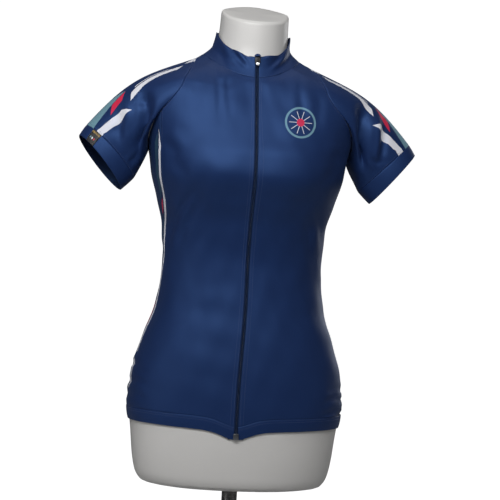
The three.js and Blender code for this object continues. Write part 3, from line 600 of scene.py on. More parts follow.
# Walls of the doubled bands and the collar in mm, and how much a band swells between its edges.
CUFF_WALL, HEM_WALL, COLLAR_WALL, COLLAR_LEAST, BAND_SWELL = 1.4, 1.5, 1.3, 1.9, 0.35
# The hem's ripple and tuck in mm, and the level whose zip edges its ends start from.
HEM_RIPPLE, HEM_TUCK, HEM_ENDS = 0.28, 0.7, 380.0
# How far round, in degrees, a band's ends are moved to meet the zip.
COLLAR_END, HEM_END = 12, 3
# How the collar's creases and its uneven edge fade round the neck and towards its foot.
FRONT_FADE, COLLAR_CREASES_FROM = 0.3, 0.25


# Small creases of the sleeves, across and up, on each sleeve's front or back.
SLEEVE_CREASES = table("side face u_from z_from u_to z_to bow width depth", [
    (-1, 1, 178, 906, 182, 796, 4, 6, -4.0),
    (-1, 1, 156, 892, 162, 800, -3, 6, 3.6),
    (-1, 1, 140, 842, 158, 816, 3, 4, 2.0),
    (-1, 1, 146, 852, 168, 824, -3, 4, 1.6),
    (-1, 1, 166, 806, 190, 782, 3, 4.5, 2.0),
    (-1, 1, 186, 800, 206, 775, -3, 4.5, 2.0),
    (-1, 1, 200, 842, 226, 806, -4, 6, 1.0),
    (-1, 1, 158, 900, 182, 868, 4, 8, 1.2),
    (1, 1, 174, 890, 172, 790, 3, 6, 4.0),
    (1, 1, 193, 890, 194, 800, -3, 5, -3.6),
    (1, 1, 182, 816, 206, 806, 3, 3.6, 2.6),
    (1, 1, 200, 812, 228, 798, -3, 4, 2.0),
    (1, 1, 166, 838, 184, 786, 3, 4.5, 2.2),
    (1, 1, 158, 900, 180, 866, 4, 8, 1.0),
    (-1, -1, 172, 838, 204, 800, 4, 6, 1.5),
    (-1, -1, 190, 850, 222, 812, -4, 6, 1.2),
    (1, -1, 174, 836, 206, 802, 4, 6, 1.4),
    (1, -1, 160, 896, 184, 860, -4, 8, 1.1),
])


def sleeve_crease_depth(side, turn, point):
    total = 0
    for row in zip(*SLEEVE_CREASES.values()):
        if row[0] == side:
            shown = smooth(row[1] * np.sin(np.radians(turn)) * 2)
            total = total + shown * one_crease(np.abs(point[..., 0]), point[..., 2], *row[2:])
    return total


def sleeve_grids(side):
    """Outer and inner points of a sleeve, rows from the raglan seam to the cuff band."""
    turn, along = np.meshgrid(TURNS[side], spaced("sleeve"))
    angle, level = raglan(side, turn)
    normal = sleeve_normal(side, turn, np.maximum(along, 0.02))
    body = figure_normal(angle, level)
    agree = smooth((normal * body).sum(-1) * 2 - 1) * (1 - smooth(along / MITRE))
    normal = mix(normal, body, agree[..., None])
    normal = unit(mix(normal, rim(side, turn), smooth(1 - (1 - along) / MITRE)[..., None]))
    point = sleeve_point(side, turn, along)
    inward = fold_depth(turn, point) * smooth((1 - along) / MITRE)
    shown = smooth((1 - along) / SEAM_FADE) * smooth(along / SEAM_FADE)
    inward = inward + sleeve_crease_depth(side, turn, point) * shown
    return cloth_grids(point, normal, -inward, -inward - sizes().cloth / MM, (SEWN, SEWN), LEAST_PANEL)


def cuff_base(side, turn, along):
    """Points between a sleeve's band seam and its cuff's edge."""
    return mix(ring_point(side, "band seam", turn), ring_point(side, "cuff edge", turn), along[..., None])


def cuff_grids(side):
    """Outer and inner points of a cuff band, rows from its seam to its edge."""
    turn, along = np.meshgrid(TURNS[side], spaced("cuff"))
    base, swell = cuff_base(side, turn, along), BAND_SWELL * np.sin(pi * along)
    edges = (SEWN, DOUBLED_EDGE)
    return cloth_grids(base, rim(side, turn), swell, swell - CUFF_WALL, edges, LEAST_BAND)


def meet_zip(angle, level, reach):
    """Moves a band's two ends onto the zip's edges, and the cloth near them less and less."""
    starts = zip_edge(1, level[:, 0]) - angle[0]
    finishes = zip_edge(-1, level[:, -1]) + 360 - angle[-1]
    near_start, near_finish = bell(angle - angle[0], reach), bell(angle - angle[-1], reach)
    return angle + starts[:, None] * near_start + finishes[:, None] * near_finish


def in_front(angle):
    return smooth(np.cos(np.radians(angle)) / FRONT_FADE)


def collar_places():
    """Angle, level and share of height of the collar's cloth, with its uneven top edge."""
    angle = mix(zip_edge(1, COLLAR_BASE), zip_edge(-1, COLLAR_BASE) + 360, spaced("collar"))
    share = spaced("collar height")[:, None]
    top = level_at_height(angle, collar_height(angle))
    x = figure(angle, top)[..., 0]
    wave = sum(rise * bell(x - middle, width) for middle, width, rise in zip(*COLLAR_EDGE.values()))
    level = mix(COLLAR_BASE, top + wave * in_front(angle), share)
    return meet_zip(angle, level, COLLAR_END), level, share


# The collar's creases: it stands a little too long round the neck, so it breaks beside the zip.
COLLAR_CREASES = table("u_from z_from u_to z_to bow width depth", [
    (-50, 984, -12, 934, 3, 3.4, 1.9),
    (-42, 986, -6, 938, 3, 4, -2.2),
    (-28, 970, -2, 936, 2, 3, 1.6),
    (-60, 986, -40, 938, 3, 4.5, 1.4),
    (-52, 962, -30, 930, 2, 4, -1.2),
    (52, 988, 14, 936, -4, 3.2, 1.9),
    (46, 966, 16, 934, -3, 3.6, -2.0),
    (34, 974, 8, 950, -2, 3, -1.4),
    (62, 990, 42, 944, -3, 4.5, 1.4),
])
# The collar's top edge dips and lifts: a place across, a width and a height.
COLLAR_EDGE = table("x width rise", [
    (-30, 9, 1.6),
    (-12, 6, -1.0),
    (14, 6, 0.8),
    (37, 11, -3.4),
    (56, 6, 1.2),
])


def collar_grids():
    """Outer and inner points of the collar, which stands further off the neck aside and behind."""
    angle, level, share = collar_places()
    base, normal = figure(angle, level), figure_normal(angle, level)
    flat = base + normal * OUTER
    flare = COLLAR_FLARE * share**2 * smooth(1.2 * (1 - np.cos(np.radians(angle))))
    creased = sum(one_crease(flat[..., 0], flat[..., 2], *row) for row in zip(*COLLAR_CREASES.values()))
    creased = creased * in_front(angle) * smooth(share / COLLAR_CREASES_FROM)
    outer = np.maximum(OUTER + flare - creased, COLLAR_LEAST)
    edges = (SEWN, DOUBLED_EDGE, BAND_END, BAND_END)
    return cloth_grids(base, normal, outer, outer - COLLAR_WALL, edges, LEAST_BAND, flat)


def hem_grids():
    """Outer and inner points of the hem band, from zip to zip."""
    angle = mix(zip_edge(1, HEM_ENDS), zip_edge(-1, HEM_ENDS) + 360, spaced("hem"))
    share = spaced("hem band")[:, None]
    level = mix(hem_level(angle), band_level(angle), share)
    angle = meet_zip(angle, level, HEM_END)
    base, normal = figure(angle, level), figure_normal(angle, level)
    flat = base + normal * OUTER
    around = path_lengths(flat, 1)
    ripple = HEM_RIPPLE * np.sin(around / 9.5 + 2.2 * np.sin(around / 61))
    ripple = ripple * smooth(angle_from_zip(angle) / 20)
    outer = OUTER + BAND_SWELL * np.sin(pi * share) + ripple * share - HEM_TUCK * (1 - share) ** 2
    edges = (HEM_EDGE, SEWN, BAND_END, BAND_END)
    return cloth_grids(base, normal, outer, outer - HEM_WALL, edges, LEAST_BAND, flat)


# The pocket panel on the back, by shares of the back panel's width and of its side seams.
POCKET_FIRST, POCKET_LAST, POCKET_TOP, BINDING_TOP, POCKETS = 0.088, 0.912, 0.4620, 0.4837, 3
POCKET_BULGE, POCKET_PROUD, POCKET_WALL = 4, 1.75, 1.0


def pocket_places(shares):
    t = mix(POCKET_FIRST, POCKET_LAST, spaced("pocket"))
    angle, level = back_places(shares, t)
    across = clamp01((t - POCKET_FIRST) / (POCKET_LAST - POCKET_FIRST)) * POCKETS
    dome = np.sin(pi * (across % 1)) ** 2
    rise = smooth(shares / 0.2)[:, None] * mix(1, 0.35, smooth((shares - 0.27) / 0.2))[:, None]
    return angle, level, POCKET_BULGE * dome * rise


def pocket_grids(shares, mouth=POCKET_SEAM):
    """Outer and inner points of the pockets' cloth or of its binding. mouth is its edges' rounding."""
    angle, level, bulge = pocket_places(shares)
    base, normal = figure(angle, level), figure_normal(angle, level)
    flat = base + normal * OUTER
    outer = OUTER + POCKET_PROUD + wave_height(flat) - crease_depth(flat, angle) + bulge
    edges = (mouth, mouth, POCKET_SEAM, POCKET_SEAM)
    return cloth_grids(base, normal, outer, outer - POCKET_WALL, edges, LEAST_PANEL, flat)


def zip_levels():
    low, high = float(hem_level(0.0)), float(level_at_height(0.0, COLLAR_FRONT))
    return np.linspace(low, high, 180)


def zip_line(away=0.0, offset=OUTER):
    level = zip_levels()
    angle = angle_at_x(zip_x(level) + away, level)
    return figure(angle, level) + figure_normal(angle, level) * offset


def zip_frame(height):
    """A frame on the zip's line: x across, y out of the cloth and z up the zip."""
    level = float(level_at_height(0.0, height))
    angle = float(angle_at_x(zip_x(level), level))
    out = figure_normal(angle, level)
    out[0] = 0
    out = out / np.linalg.norm(out)
    up = np.cross([-1, 0, 0], out)
    origin = figure(angle, level) + figure_normal(angle, level) * OUTER
    matrix = np.eye(4)
    matrix[:3, 0], matrix[:3, 1], matrix[:3, 2], matrix[:3, 3] = (-1, 0, 0), out, up, origin
    return matrix


# Speed bars: broken stripes with slanted ends, in mm along and across a sleeve's ridge line.
# along runs from the collar's point to the cuff band, and across is positive to the front.
# lean moves a bar across as it runs.
SLEEVE_BARS = table("colour start end middle width slant lean", [
    ("white", -30, 15, 20, 17, -0.9, 0),
    ("white", 31, 128, 41, 9.5, -1.2, 0.03),
    ("white", 50, 112, 33.5, 2.2, -1.4, 0.03),
    ("red", 134, 164, 31, 11, -1.4, 0),
    ("teal", 140, 240, 15, 19, 1.5, 0.02),
    ("white", 148, 240, 53, 11, 1.0, -0.26),
    ("white", -30, 22, -18, 14, 0.9, 0),
    ("white", 36, 120, -40, 13, 0.9, -0.03),
    ("red", 112, 150, -20, 15, 0.9, 0),
    ("teal", 126, 240, -6, 10, 0.8, 0),
    ("white", 136, 240, -50, 12, -0.5, 0.22),
])
# The same on a side panel, in mm up from the hem band and back from its front seam.
SIDE_BARS = table("colour start end middle width slant lean", [
    ("white", 30, 76, 3.6, 5, -1.2, 0),
    ("white", 88, 200, 3.4, 4.6, -1.2, 0),
    ("white", 206, 290, 3.6, 5, -6, 0),
    ("white", 268, 352, 6.0, 9, -6, -0.01),
    ("white", 330, 430, 6.2, 7, -4, -0.02),
    # The darker teal bars below are the teal print darkened as painted shade.
    ("deep", 14, 112, 15, 9, 1.2, 0),
    ("red", 126, 168, 14, 7, 1.2, 0),
    ("deep", 182, 300, 17, 9, 1.2, 0),
    ("red", 312, 332, 19, 8, 1.2, 0),
    ("deep", 342, 430, 18, 13, 1.2, 0),
])
# The wheel on the chest in mm: its middle, the tyre's and hub's sizes and the spokes.
BADGE = {"x": 66.5, "z": 857, "rim": 22.5, "tyre": 3.4, "hub": 6.2, "spokes": 5.0, "spoke": 1.1, "gap": 4.5}
# How soft a printed edge is, in mm: of the badge, a speed bar and the woven tab.
BADGE_BLUR, BAR_BLUR, TAB_BLUR = 0.25, 0.3, 0.15


def size_property(name, description, value):
    return bpy.props.FloatProperty(
        name=name, description=description, default=value * MM, min=0.0, unit="LENGTH", precision=5)


class JerseySizes(bpy.types.PropertyGroup):
    cloth: size_property("Cloth", "Thickness of the knit", 1.1)
    stitch_pitch: size_property("Stitch pitch", "From one stitch to the next", 2.9)
    stitch_length: size_property("Stitch length", "Thread that shows", 2.1)
    thread: size_property("Thread", "Thickness of the thread", 0.42)
    coil_pitch: size_property("Coil pitch", "From one turn of the zip's coil to the next", 1.25)
    knit_pitch: bpy.props.FloatProperty(
        name="Knit pitch", description="Wale spacing of the knit, in millimetres", default=0.9, min=0.2)


def colour_property(name, description, value):
    return bpy.props.FloatVectorProperty(
        name=name, description=description, default=(*value, 1.0), size=4, min=0, max=1, subtype="COLOR")


class JerseyColours(bpy.types.PropertyGroup):
    navy: colour_property("Navy", "Fronts, back and sleeves", (0.0080, 0.0202, 0.0790))
    side: colour_property("Side navy", "Side panels", (0.0075, 0.0190, 0.068))
    white: colour_property("White", "Light speed bars", (0.76, 0.76, 0.80))
    red: colour_property("Red", "Red speed bars", (0.62, 0.020, 0.055))
    teal: colour_property("Teal", "Teal speed bars", (0.155, 0.29, 0.345))
    # The side panels' teal print, darkened as painted shade.
    deep: colour_property("Teal with painted shade", "Shaded print colour of the side panels", (0.026, 0.062, 0.095))
    # The cloth's inner face: a darker navy, partly the knit's own dark back and partly painted shade of the
    # jersey's inside.
    inside: colour_property("Inside", "The cloth's inner face", (0.010, 0.018, 0.050))
    thread: colour_property("Thread", "Sewing thread", (0.030, 0.062, 0.185))
    zip: colour_property("Zip", "Zip tape and coil", (0.010, 0.020, 0.058))
    gold: colour_property("Gold", "Line woven in the cuff tab", (0.44, 0.28, 0.07))
    black: colour_property("Black", "Slider, pull tab and the cuff tab's ground", (0.006, 0.006, 0.007))
    bright: colour_property("Bright metal", "Tip of the pull tab", (0.62, 0.63, 0.65))
    dark: colour_property("Dark metal", "Zip box at the hem", (0.20, 0.21, 0.23))
    shell: colour_property("Shell", "The dress form", (0.64, 0.63, 0.615))
    stand: colour_property("Stand", "Pole and foot", (0.2, 0.2, 0.2))


def sizes():
    return bpy.context.scene.jersey_sizes


def colours():
    return bpy.context.scene.jersey_colours


class Wiring:
    """Adds a tree's nodes and links them."""

    def __init__(self, tree):
        self.tree = tree

    def node(self, kind, inputs=None, **settings):
        made = self.tree.nodes.new(kind)
        for key, value in settings.items():
            setattr(made, key, value)
        for socket, value in (inputs or {}).items():
            self.put(made.inputs[socket], value)
        return made

    def put(self, socket, value):
        if isinstance(value, bpy.types.NodeSocket):
            self.tree.links.new(value, socket)
        else:
            socket.default_value = value

    def math(self, operation, *values, clamp=False):
        made = self.node("ShaderNodeMath", operation=operation, use_clamp=clamp)
        for socket, value in zip(made.inputs, values):
            self.put(socket, value)
        return made.outputs[0]

    def blend(self, share, first, second):
        made = self.node("ShaderNodeMix", data_type="RGBA")
        for socket, value in zip((0, 6, 7), (share, first, second)):
            self.put(made.inputs[socket], value)
        return made.outputs[2]

    def toned(self, colour, shade):
        """A colour made lighter or darker by a value."""
        grey = self.node("ShaderNodeCombineXYZ", {0: shade, 1: shade, 2: shade}).outputs[0]
        return self.node("ShaderNodeVectorMath", {0: colour, 1: grey}, operation="MULTIPLY").outputs[0]

    def bump(self, height, strength, distance):
        inputs = {"Height": height, "Strength": strength, "Distance": distance * MM}
        return self.node("ShaderNodeBump", inputs).outputs[0]

    def group(self, tree, inputs):
        made = self.node("ShaderNodeGroup", node_tree=tree)
        for name, value in inputs.items():
            self.put(made.inputs[name], value)
        return made


SOCKETS = {"float": "NodeSocketFloat", "vector": "NodeSocketVector", "colour": "NodeSocketColor"}


def effect(name, inputs, outputs, build):
    """A shader node group, built once."""
    if name in bpy.data.node_groups:
        return bpy.data.node_groups[name]
    tree = bpy.data.node_groups.new(name, "ShaderNodeTree")
    for socket, kind in inputs.items():
        tree.interface.new_socket(name=socket, in_out="INPUT", socket_type=SOCKETS[kind])
    for socket, kind in outputs.items():
        tree.interface.new_socket(name=socket, in_out="OUTPUT", socket_type=SOCKETS[kind])
    wiring = Wiring(tree)
    given, result = wiring.node("NodeGroupInput"), wiring.node("NodeGroupOutput")
    for socket, value in build(wiring, given.outputs).items():
        wiring.put(result.inputs[socket], value)
    return tree


# The knit's loops: a course's step as a share of the pitch, how far its loops lean, and the relief of
# courses and wales. Then the dye's stretched clouds, how much clouds and grain vary the dye, and how
# much painted shade darkens the loops' hollows.
LOOPS = {"course": 0.8, "lean": 1.6, "course height": 0.22, "wale height": 0.7}
CLOUDS, CLOUD_SHADE, GRAIN_SHADE, PORE_PAINTED_SHADE = (0.011, 0.007, 0.01), 0.22, 0.14, 0.10


def knit_effect():
    """Fine wales and courses as a height, and as a shade the knit's uneven dye with painted shade in its
    loops' hollows.
    """
    def build(w, given):
        place = w.node("ShaderNodeSeparateXYZ", {0: given["Place"]}).outputs
        across = w.math("DIVIDE", place[0], given["Pitch"])
        up = w.math("DIVIDE", place[1], w.math("MULTIPLY", given["Pitch"], LOOPS["course"]))
        wale = w.math("ABSOLUTE", w.math("SINE", w.math("MULTIPLY", across, pi)))
        lean = w.math("MULTIPLY", w.math("SINE", w.math("MULTIPLY", across, 2 * pi)), LOOPS["lean"])
        course = w.math("SINE", w.math("ADD", w.math("MULTIPLY", up, 2 * pi), lean))
        wales = w.math("MULTIPLY", wale, LOOPS["wale height"])
        loops = w.math("MULTIPLY_ADD", course, LOOPS["course height"], wales)
        scaled = w.node("ShaderNodeVectorMath", {0: given["Place"], 1: CLOUDS}, operation="MULTIPLY")
        cloud = w.node("ShaderNodeTexNoise", {"Vector": scaled.outputs[0], "Scale": 1.0, "Detail": 3.0})
        grain = w.node("ShaderNodeTexNoise", {"Vector": given["Place"], "Scale": 0.9, "Detail": 2.0})
        wide = w.math("MULTIPLY_ADD", w.math("SUBTRACT", cloud.outputs[0], 0.5), CLOUD_SHADE, 1.0)
        fine = w.math("MULTIPLY", w.math("SUBTRACT", grain.outputs[0], 0.5), GRAIN_SHADE)
        # The colour follows the loops' height, lighter on their tops and darker in their hollows: painted
        # shade.
        painted_pore_shade = w.math("MULTIPLY", w.math("SUBTRACT", loops, 0.5), PORE_PAINTED_SHADE)
        return {"Height": loops, "Shade": w.math("ADD", w.math("ADD", wide, fine), painted_pore_shade)}

    return effect("Knit", {"Place": "vector", "Pitch": "float"}, {"Height": "float", "Shade": "float"}, build)


def bar_effect():
    """A straight bar with slanted ends, as a mask."""
    def build(w, given):
        place = w.node("ShaderNodeSeparateXYZ", {0: given["Place"]}).outputs
        drift = w.math("MULTIPLY", w.math("SUBTRACT", place[1], given["Start"]), given["Lean"])
        off = w.math("SUBTRACT", w.math("SUBTRACT", place[0], given["Middle"]), drift)
        along = w.math("MULTIPLY_ADD", off, given["Slant"], place[1])
        inside = w.math("SUBTRACT", w.math("DIVIDE", given["Width"], 2.0), w.math("ABSOLUTE", off))
        masks = [w.math("DIVIDE", value, given["Softness"], clamp=True) for value in (
            w.math("SUBTRACT", along, given["Start"]), w.math("SUBTRACT", given["End"], along), inside)]
        return {"Mask": w.math("MULTIPLY", w.math("MULTIPLY", masks[0], masks[1]), masks[2])}

    names = ("Start", "End", "Middle", "Width", "Slant", "Lean", "Softness")
    return effect("Speed bar", {"Place": "vector", **dict.fromkeys(names, "float")}, {"Mask": "float"}, build)


def badge_effect():
    """A plain bicycle wheel: a tyre, spokes and a hub, as three masks."""
    def build(w, given):
        place = w.node("ShaderNodeSeparateXYZ", {0: given["Place"]}).outputs
        x = w.math("SUBTRACT", place[0], BADGE["x"] * MM)
        z = w.math("SUBTRACT", place[2], BADGE["z"] * MM)
        squares = w.math("ADD", w.math("MULTIPLY", x, x), w.math("MULTIPLY", z, z))
        radius = w.math("DIVIDE", w.math("SQRT", squares), MM)
        angle = w.math("ARCTAN2", z, x)
        turn = w.math("ABSOLUTE", w.math("SINE", w.math("MULTIPLY", angle, BADGE["spokes"])))
        from_spoke = w.math("MULTIPLY", w.math("DIVIDE", turn, BADGE["spokes"]), radius)

        def within(value, limit):
            return w.math("DIVIDE", w.math("SUBTRACT", limit, value), BADGE_BLUR, clamp=True)

        from_rim = w.math("ABSOLUTE", w.math("SUBTRACT", radius, BADGE["rim"]))
        in_front = w.math("LESS_THAN", place[1], 0.0)
        tyre = w.math("MULTIPLY", within(from_rim, BADGE["tyre"] / 2), in_front)
        inner = within(radius, BADGE["rim"] - BADGE["gap"])
        spoke = w.math("MULTIPLY", within(from_spoke, BADGE["spoke"] / 2), inner)
        hub = w.math("MULTIPLY", within(radius, BADGE["hub"]), in_front)
        return {"Tyre": tyre, "Spokes": w.math("MULTIPLY", spoke, in_front), "Hub": hub}

    masks = dict.fromkeys(("Tyre", "Spokes", "Hub"), "float")
    return effect("Wheel badge", {"Place": "vector"}, masks, build)


def new_material(name, **shader):
    """A material with its Principled shader's own sockets set."""
    made = bpy.data.materials.new(name)
    made.use_nodes = True
    wiring = Wiring(made.node_tree)
    principled = made.node_tree.nodes["Principled BSDF"]
    for socket, value in shader.items():
        principled.inputs[socket.replace("_", " ")].default_value = value
    return made, wiring, principled


BLUE_SHEEN = (0.3, 0.5, 1.0, 1.0)
# How much a grain shifts a finish's roughness, and the scale of its broad patches as a share.
GRAIN_ROUGHNESS, BROAD_GRAIN = 0.16, 0.03
# The cuff tab's weave in mm: its two gold lines and their half width, the diamonds' row, half width,
# slope and places across.
TAB_LINES, TAB_LINE_HALF, TAB_ROW, TAB_DIAMOND, TAB_SQUASH = (2.6, 4.1), 0.4, 12.5, 1.5, 0.6
TAB_DIAMONDS = ((4.2, "teal"), (8.0, "white"), (11.8, "red"))


def knit_material(name, colour, bars=None, badge=False):
    """Jersey knit: dye, fine loops, speed bars by a UV map in mm, and the wheel badge."""
    made, w, principled = new_material(
        name, Roughness=0.50, Sheen_Weight=0.05, Sheen_Roughness=0.45, Sheen_Tint=BLUE_SHEEN,
        Specular_Tint=(0.20, 0.42, 1.0, 1.0), Specular_IOR_Level=0.8)
    place = w.node("ShaderNodeUVMap", uv_map="Cloth").outputs[0]
    knit = w.group(knit_effect(), {"Place": place, "Pitch": sizes().knit_pitch})
    dyed = colour
    if bars is not None:
        bar_place = w.node("ShaderNodeUVMap", uv_map="Bars").outputs[0]
        for row in zip(*bars.values()):
            values = dict(zip(("Start", "End", "Middle", "Width", "Slant", "Lean"), row[1:]))
            mask = w.group(bar_effect(), {"Place": bar_place, "Softness": BAR_BLUR, **values})
            dyed = w.blend(mask.outputs[0], dyed, getattr(colours(), row[0]))
    if badge:
        own = w.node("ShaderNodeTexCoord").outputs["Object"]
        masks = w.group(badge_effect(), {"Place": own}).outputs
        for mask, tint in zip(("Spokes", "Tyre", "Hub"), ("white", "teal", "red")):
            dyed = w.blend(masks[mask], dyed, getattr(colours(), tint))
    if not isinstance(dyed, bpy.types.NodeSocket):
        dyed = w.node("ShaderNodeRGB").outputs[0]
        dyed.default_value = colour
    w.put(principled.inputs["Base Color"], w.toned(dyed, knit.outputs["Shade"]))
    w.put(principled.inputs["Normal"], w.bump(knit.outputs["Height"], 0.35, 0.12))
    return made


def grained_material(name, colour, grain, strength, scale, **shader):
    """A plain finish with a fine uneven grain in its colour, roughness and surface."""
    made, w, principled = new_material(name, **shader)
    own = w.node("ShaderNodeTexCoord").outputs["Object"]
    noise = w.node("ShaderNodeTexNoise", {"Vector": own, "Scale": scale, "Detail": 4.0})
    broad = w.node("ShaderNodeTexNoise", {"Vector": own, "Scale": scale * BROAD_GRAIN, "Detail": 2.0})
    shift = w.math("MULTIPLY_ADD", w.math("SUBTRACT", broad.outputs[0], 0.5), grain, 1.0)
    w.put(principled.inputs["Base Color"], w.toned(colour[:3], shift))
    uneven = w.math("SUBTRACT", noise.outputs[0], 0.5)
    rough = w.math("MULTIPLY_ADD", uneven, GRAIN_ROUGHNESS, shader["Roughness"])
    w.put(principled.inputs["Roughness"], rough)
    w.put(principled.inputs["Normal"], w.bump(noise.outputs[0], strength, 0.1))
    return made


def tab_material():
    """Black satin weave with a gold double line and three small woven diamonds."""
    made, w, principled = new_material("Woven tab", Roughness=0.42, Sheen_Weight=0.15)
    place = w.node("ShaderNodeUVMap", uv_map="Cloth")
    across, up = w.node("ShaderNodeSeparateXYZ", {0: place.outputs[0]}).outputs[:2]

    def near(value, middle, half):
        gap = w.math("SUBTRACT", half, w.math("ABSOLUTE", w.math("SUBTRACT", value, middle)))
        return w.math("DIVIDE", gap, TAB_BLUR, clamp=True)

    ground = w.node("ShaderNodeRGB")
    ground.outputs[0].default_value = colours().black
    tint = ground.outputs[0]
    for line in TAB_LINES:
        tint = w.blend(near(up, line, TAB_LINE_HALF), tint, colours().gold)
    for middle, name in TAB_DIAMONDS:
        sideways = w.math("ABSOLUTE", w.math("SUBTRACT", across, middle))
        lengthways = w.math("ABSOLUTE", w.math("SUBTRACT", up, TAB_ROW))
        away = w.math("MULTIPLY_ADD", lengthways, TAB_SQUASH, sideways)
        tint = w.blend(near(away, 0.0, TAB_DIAMOND), tint, getattr(colours(), name))
    w.put(principled.inputs["Base Color"], tint)
    ribs = w.math("SINE", w.math("MULTIPLY", w.math("ADD", across, up), 12.0))
    w.put(principled.inputs["Normal"], w.bump(ribs, 0.3, 0.08))
    return made


def woven_material(name, colour, pitch):
    """A plain narrow weave, as on zip tape and on an elastic binding."""
    made, w, principled = new_material(
        name, Roughness=0.6, Sheen_Weight=0.06, Sheen_Tint=BLUE_SHEEN, Specular_Tint=BLUE_SHEEN)
    place = w.node("ShaderNodeUVMap", uv_map="Cloth")
    across, up = w.node("ShaderNodeSeparateXYZ", {0: place.outputs[0]}).outputs[:2]
    ribs = [w.math("SINE", w.math("MULTIPLY", value, pi / pitch)) for value in (across, up)]
    height = w.math("MULTIPLY", *(w.math("ABSOLUTE", rib) for rib in ribs))
    # The weave's colour is lighter on its ribs and darker in the hollows between them: painted shade.
    w.put(principled.inputs["Base Color"], w.toned(colour[:3], w.math("MULTIPLY_ADD", height, 0.3, 0.85)))
    w.put(principled.inputs["Normal"], w.bump(height, 0.4, 0.15))
    return made


# Plain finishes: colour, how uneven it is, the grain's strength and scale, and the shader's values.
GRAINED = {
    "Thread": ("thread", 0.2, 0.4, 3000, {"Roughness": 0.5, "Sheen_Weight": 0.2}),
    "Zip coil": ("zip", 0.2, 0.1, 2500, {"Roughness": 0.42, "Specular_Tint": (0.35, 0.55, 1.0, 1.0)}),
    "Black lacquer": ("black", 0.2, 0.1, 1500, {"Roughness": 0.38, "Specular_IOR_Level": 0.3}),
    "Bright metal": ("bright", 0.1, 0.08, 1800, {"Roughness": 0.22, "Metallic": 1.0}),
    "Dark metal": ("dark", 0.1, 0.08, 1800, {"Roughness": 0.3, "Metallic": 1.0}),
    "Form shell": ("shell", 0.06, 0.05, 500, {"Roughness": 0.4, "Coat_Weight": 0.18, "Coat_Roughness": 0.25}),
    "Stand metal": ("stand", 0.15, 0.06, 900, {"Roughness": 0.28, "Metallic": 1.0}),
}


def material(name):
    """A finish by name, made on first use."""
    if name in bpy.data.materials:
        return bpy.data.materials[name]
    tint = colours()
    if name in GRAINED:
        colour, grain, strength, scale, shader = GRAINED[name]
        return grained_material(name, getattr(tint, colour), grain, strength, scale, **shader)
    makers = {
        "Navy knit": lambda: knit_material(name, tint.navy),
        "Navy knit with badge": lambda: knit_material(name, tint.navy, badge=True),
        "Sleeve knit": lambda: knit_material(name, tint.navy, SLEEVE_BARS),
        "Side knit": lambda: knit_material(name, tint.side, SIDE_BARS),
        "Inside": lambda: knit_material(name, tint.inside),
        "Zip tape": lambda: woven_material(name, tint.zip, 0.5),
        "Binding": lambda: woven_material(name, tint.side, 0.9),
        "Woven tab": tab_material,
    }
    return makers[name]()


def set_out(name, data):
    """An object of its own at the origin."""
    made = bpy.data.objects.new(name, data)
    bpy.context.scene.collection.objects.link(made)
    return made


def outward(points, faces):
    """Whether the faces point out of the closed shape that they make."""
    a, b, c = (points[faces[:, i]] for i in (0, 1, 2))
    volume = np.einsum("ij,ij->", a, np.cross(b, c))
    d = points[faces[:, -1]]
    volume += np.einsum("ij,ij->", a, np.cross(c, d)) if faces.shape[1] == 4 else 0
    return volume > 0


def add_mesh(name, points, faces, finishes, uv_maps=None, finish_of=None):
    """A smooth mesh object at the origin from points in mm, with its UV maps by face corner."""
    mesh = bpy.data.meshes.new(name)
    mesh.from_pydata((points * MM).tolist(), [], faces.tolist())
    for key, values in (uv_maps or {}).items():
        mesh.uv_layers.new(name=key).data.foreach_set("uv", np.asarray(values, float).ravel())
    for finish in finishes:
        mesh.materials.append(material(finish))
    if finish_of is not None:
        mesh.polygons.foreach_set("material_index", finish_of)
    mesh.shade_smooth()
    return set_out(name, mesh)


def wall_faces(rows, columns, closed):
    """Corners of a wall's faces as layer, row and unwrapped column, and which face is inside."""
    last = columns if closed else columns - 1
    r, c = (v.ravel() for v in np.meshgrid(np.arange(rows - 1), np.arange(last), indexing="ij"))
    edge_c, edge_r = np.arange(last), np.arange(rows - 1)
    zero_c, zero_r = np.zeros_like(edge_c), np.zeros_like(edge_r)
    top_c, end_r = zero_c + rows - 1, zero_r + columns - 1
    quads = [
        ((0, r, c), (0, r, c + 1), (0, r + 1, c + 1), (0, r + 1, c)),
        ((1, r, c), (1, r + 1, c), (1, r + 1, c + 1), (1, r, c + 1)),
        ((0, zero_c, edge_c), (1, zero_c, edge_c), (1, zero_c, edge_c + 1), (0, zero_c, edge_c + 1)),
        ((0, top_c, edge_c), (0, top_c, edge_c + 1), (1, top_c, edge_c + 1), (1, top_c, edge_c)),
    ]
    if not closed:
        quads += [
            ((0, edge_r, zero_r), (0, edge_r + 1, zero_r), (1, edge_r + 1, zero_r), (1, edge_r, zero_r)),
            ((0, edge_r, end_r), (1, edge_r, end_r), (1, edge_r + 1, end_r), (0, edge_r + 1, end_r)),
        ]
    def corner(layer, row, column):
        return np.stack([np.full_like(row, layer), row, column], -1)

    stacked = [np.stack([corner(*place) for place in quad], 1) for quad in quads]
    inside = np.concatenate([np.full(len(part), i == 1) for i, part in enumerate(stacked)])
    return np.concatenate(stacked), inside


def grown(grid):
    """A closed grid with its first column repeated at its end."""
    return np.concatenate([grid, grid[:, :1]], 1)


def cut_place(grid, closed):
    """Each point's place on the cut cloth, in mm across and up."""
    points = grown(grid) if closed else grid
    return np.stack([path_lengths(points, 1), path_lengths(points, 0)], -1)


# Where a face sweeps over all bars, and a place beside them all, in mm across the ridge line.
SWEEP_OF_BARS, BESIDE_BARS = 60, 300


def kept_apart(places):
    """A face that would sweep over all bars, from one side of the underarm to the other, gets none."""
    wide = np.ptp(places[..., 0], axis=1) > SWEEP_OF_BARS
    places[wide, :, 0] = BESIDE_BARS
    return places


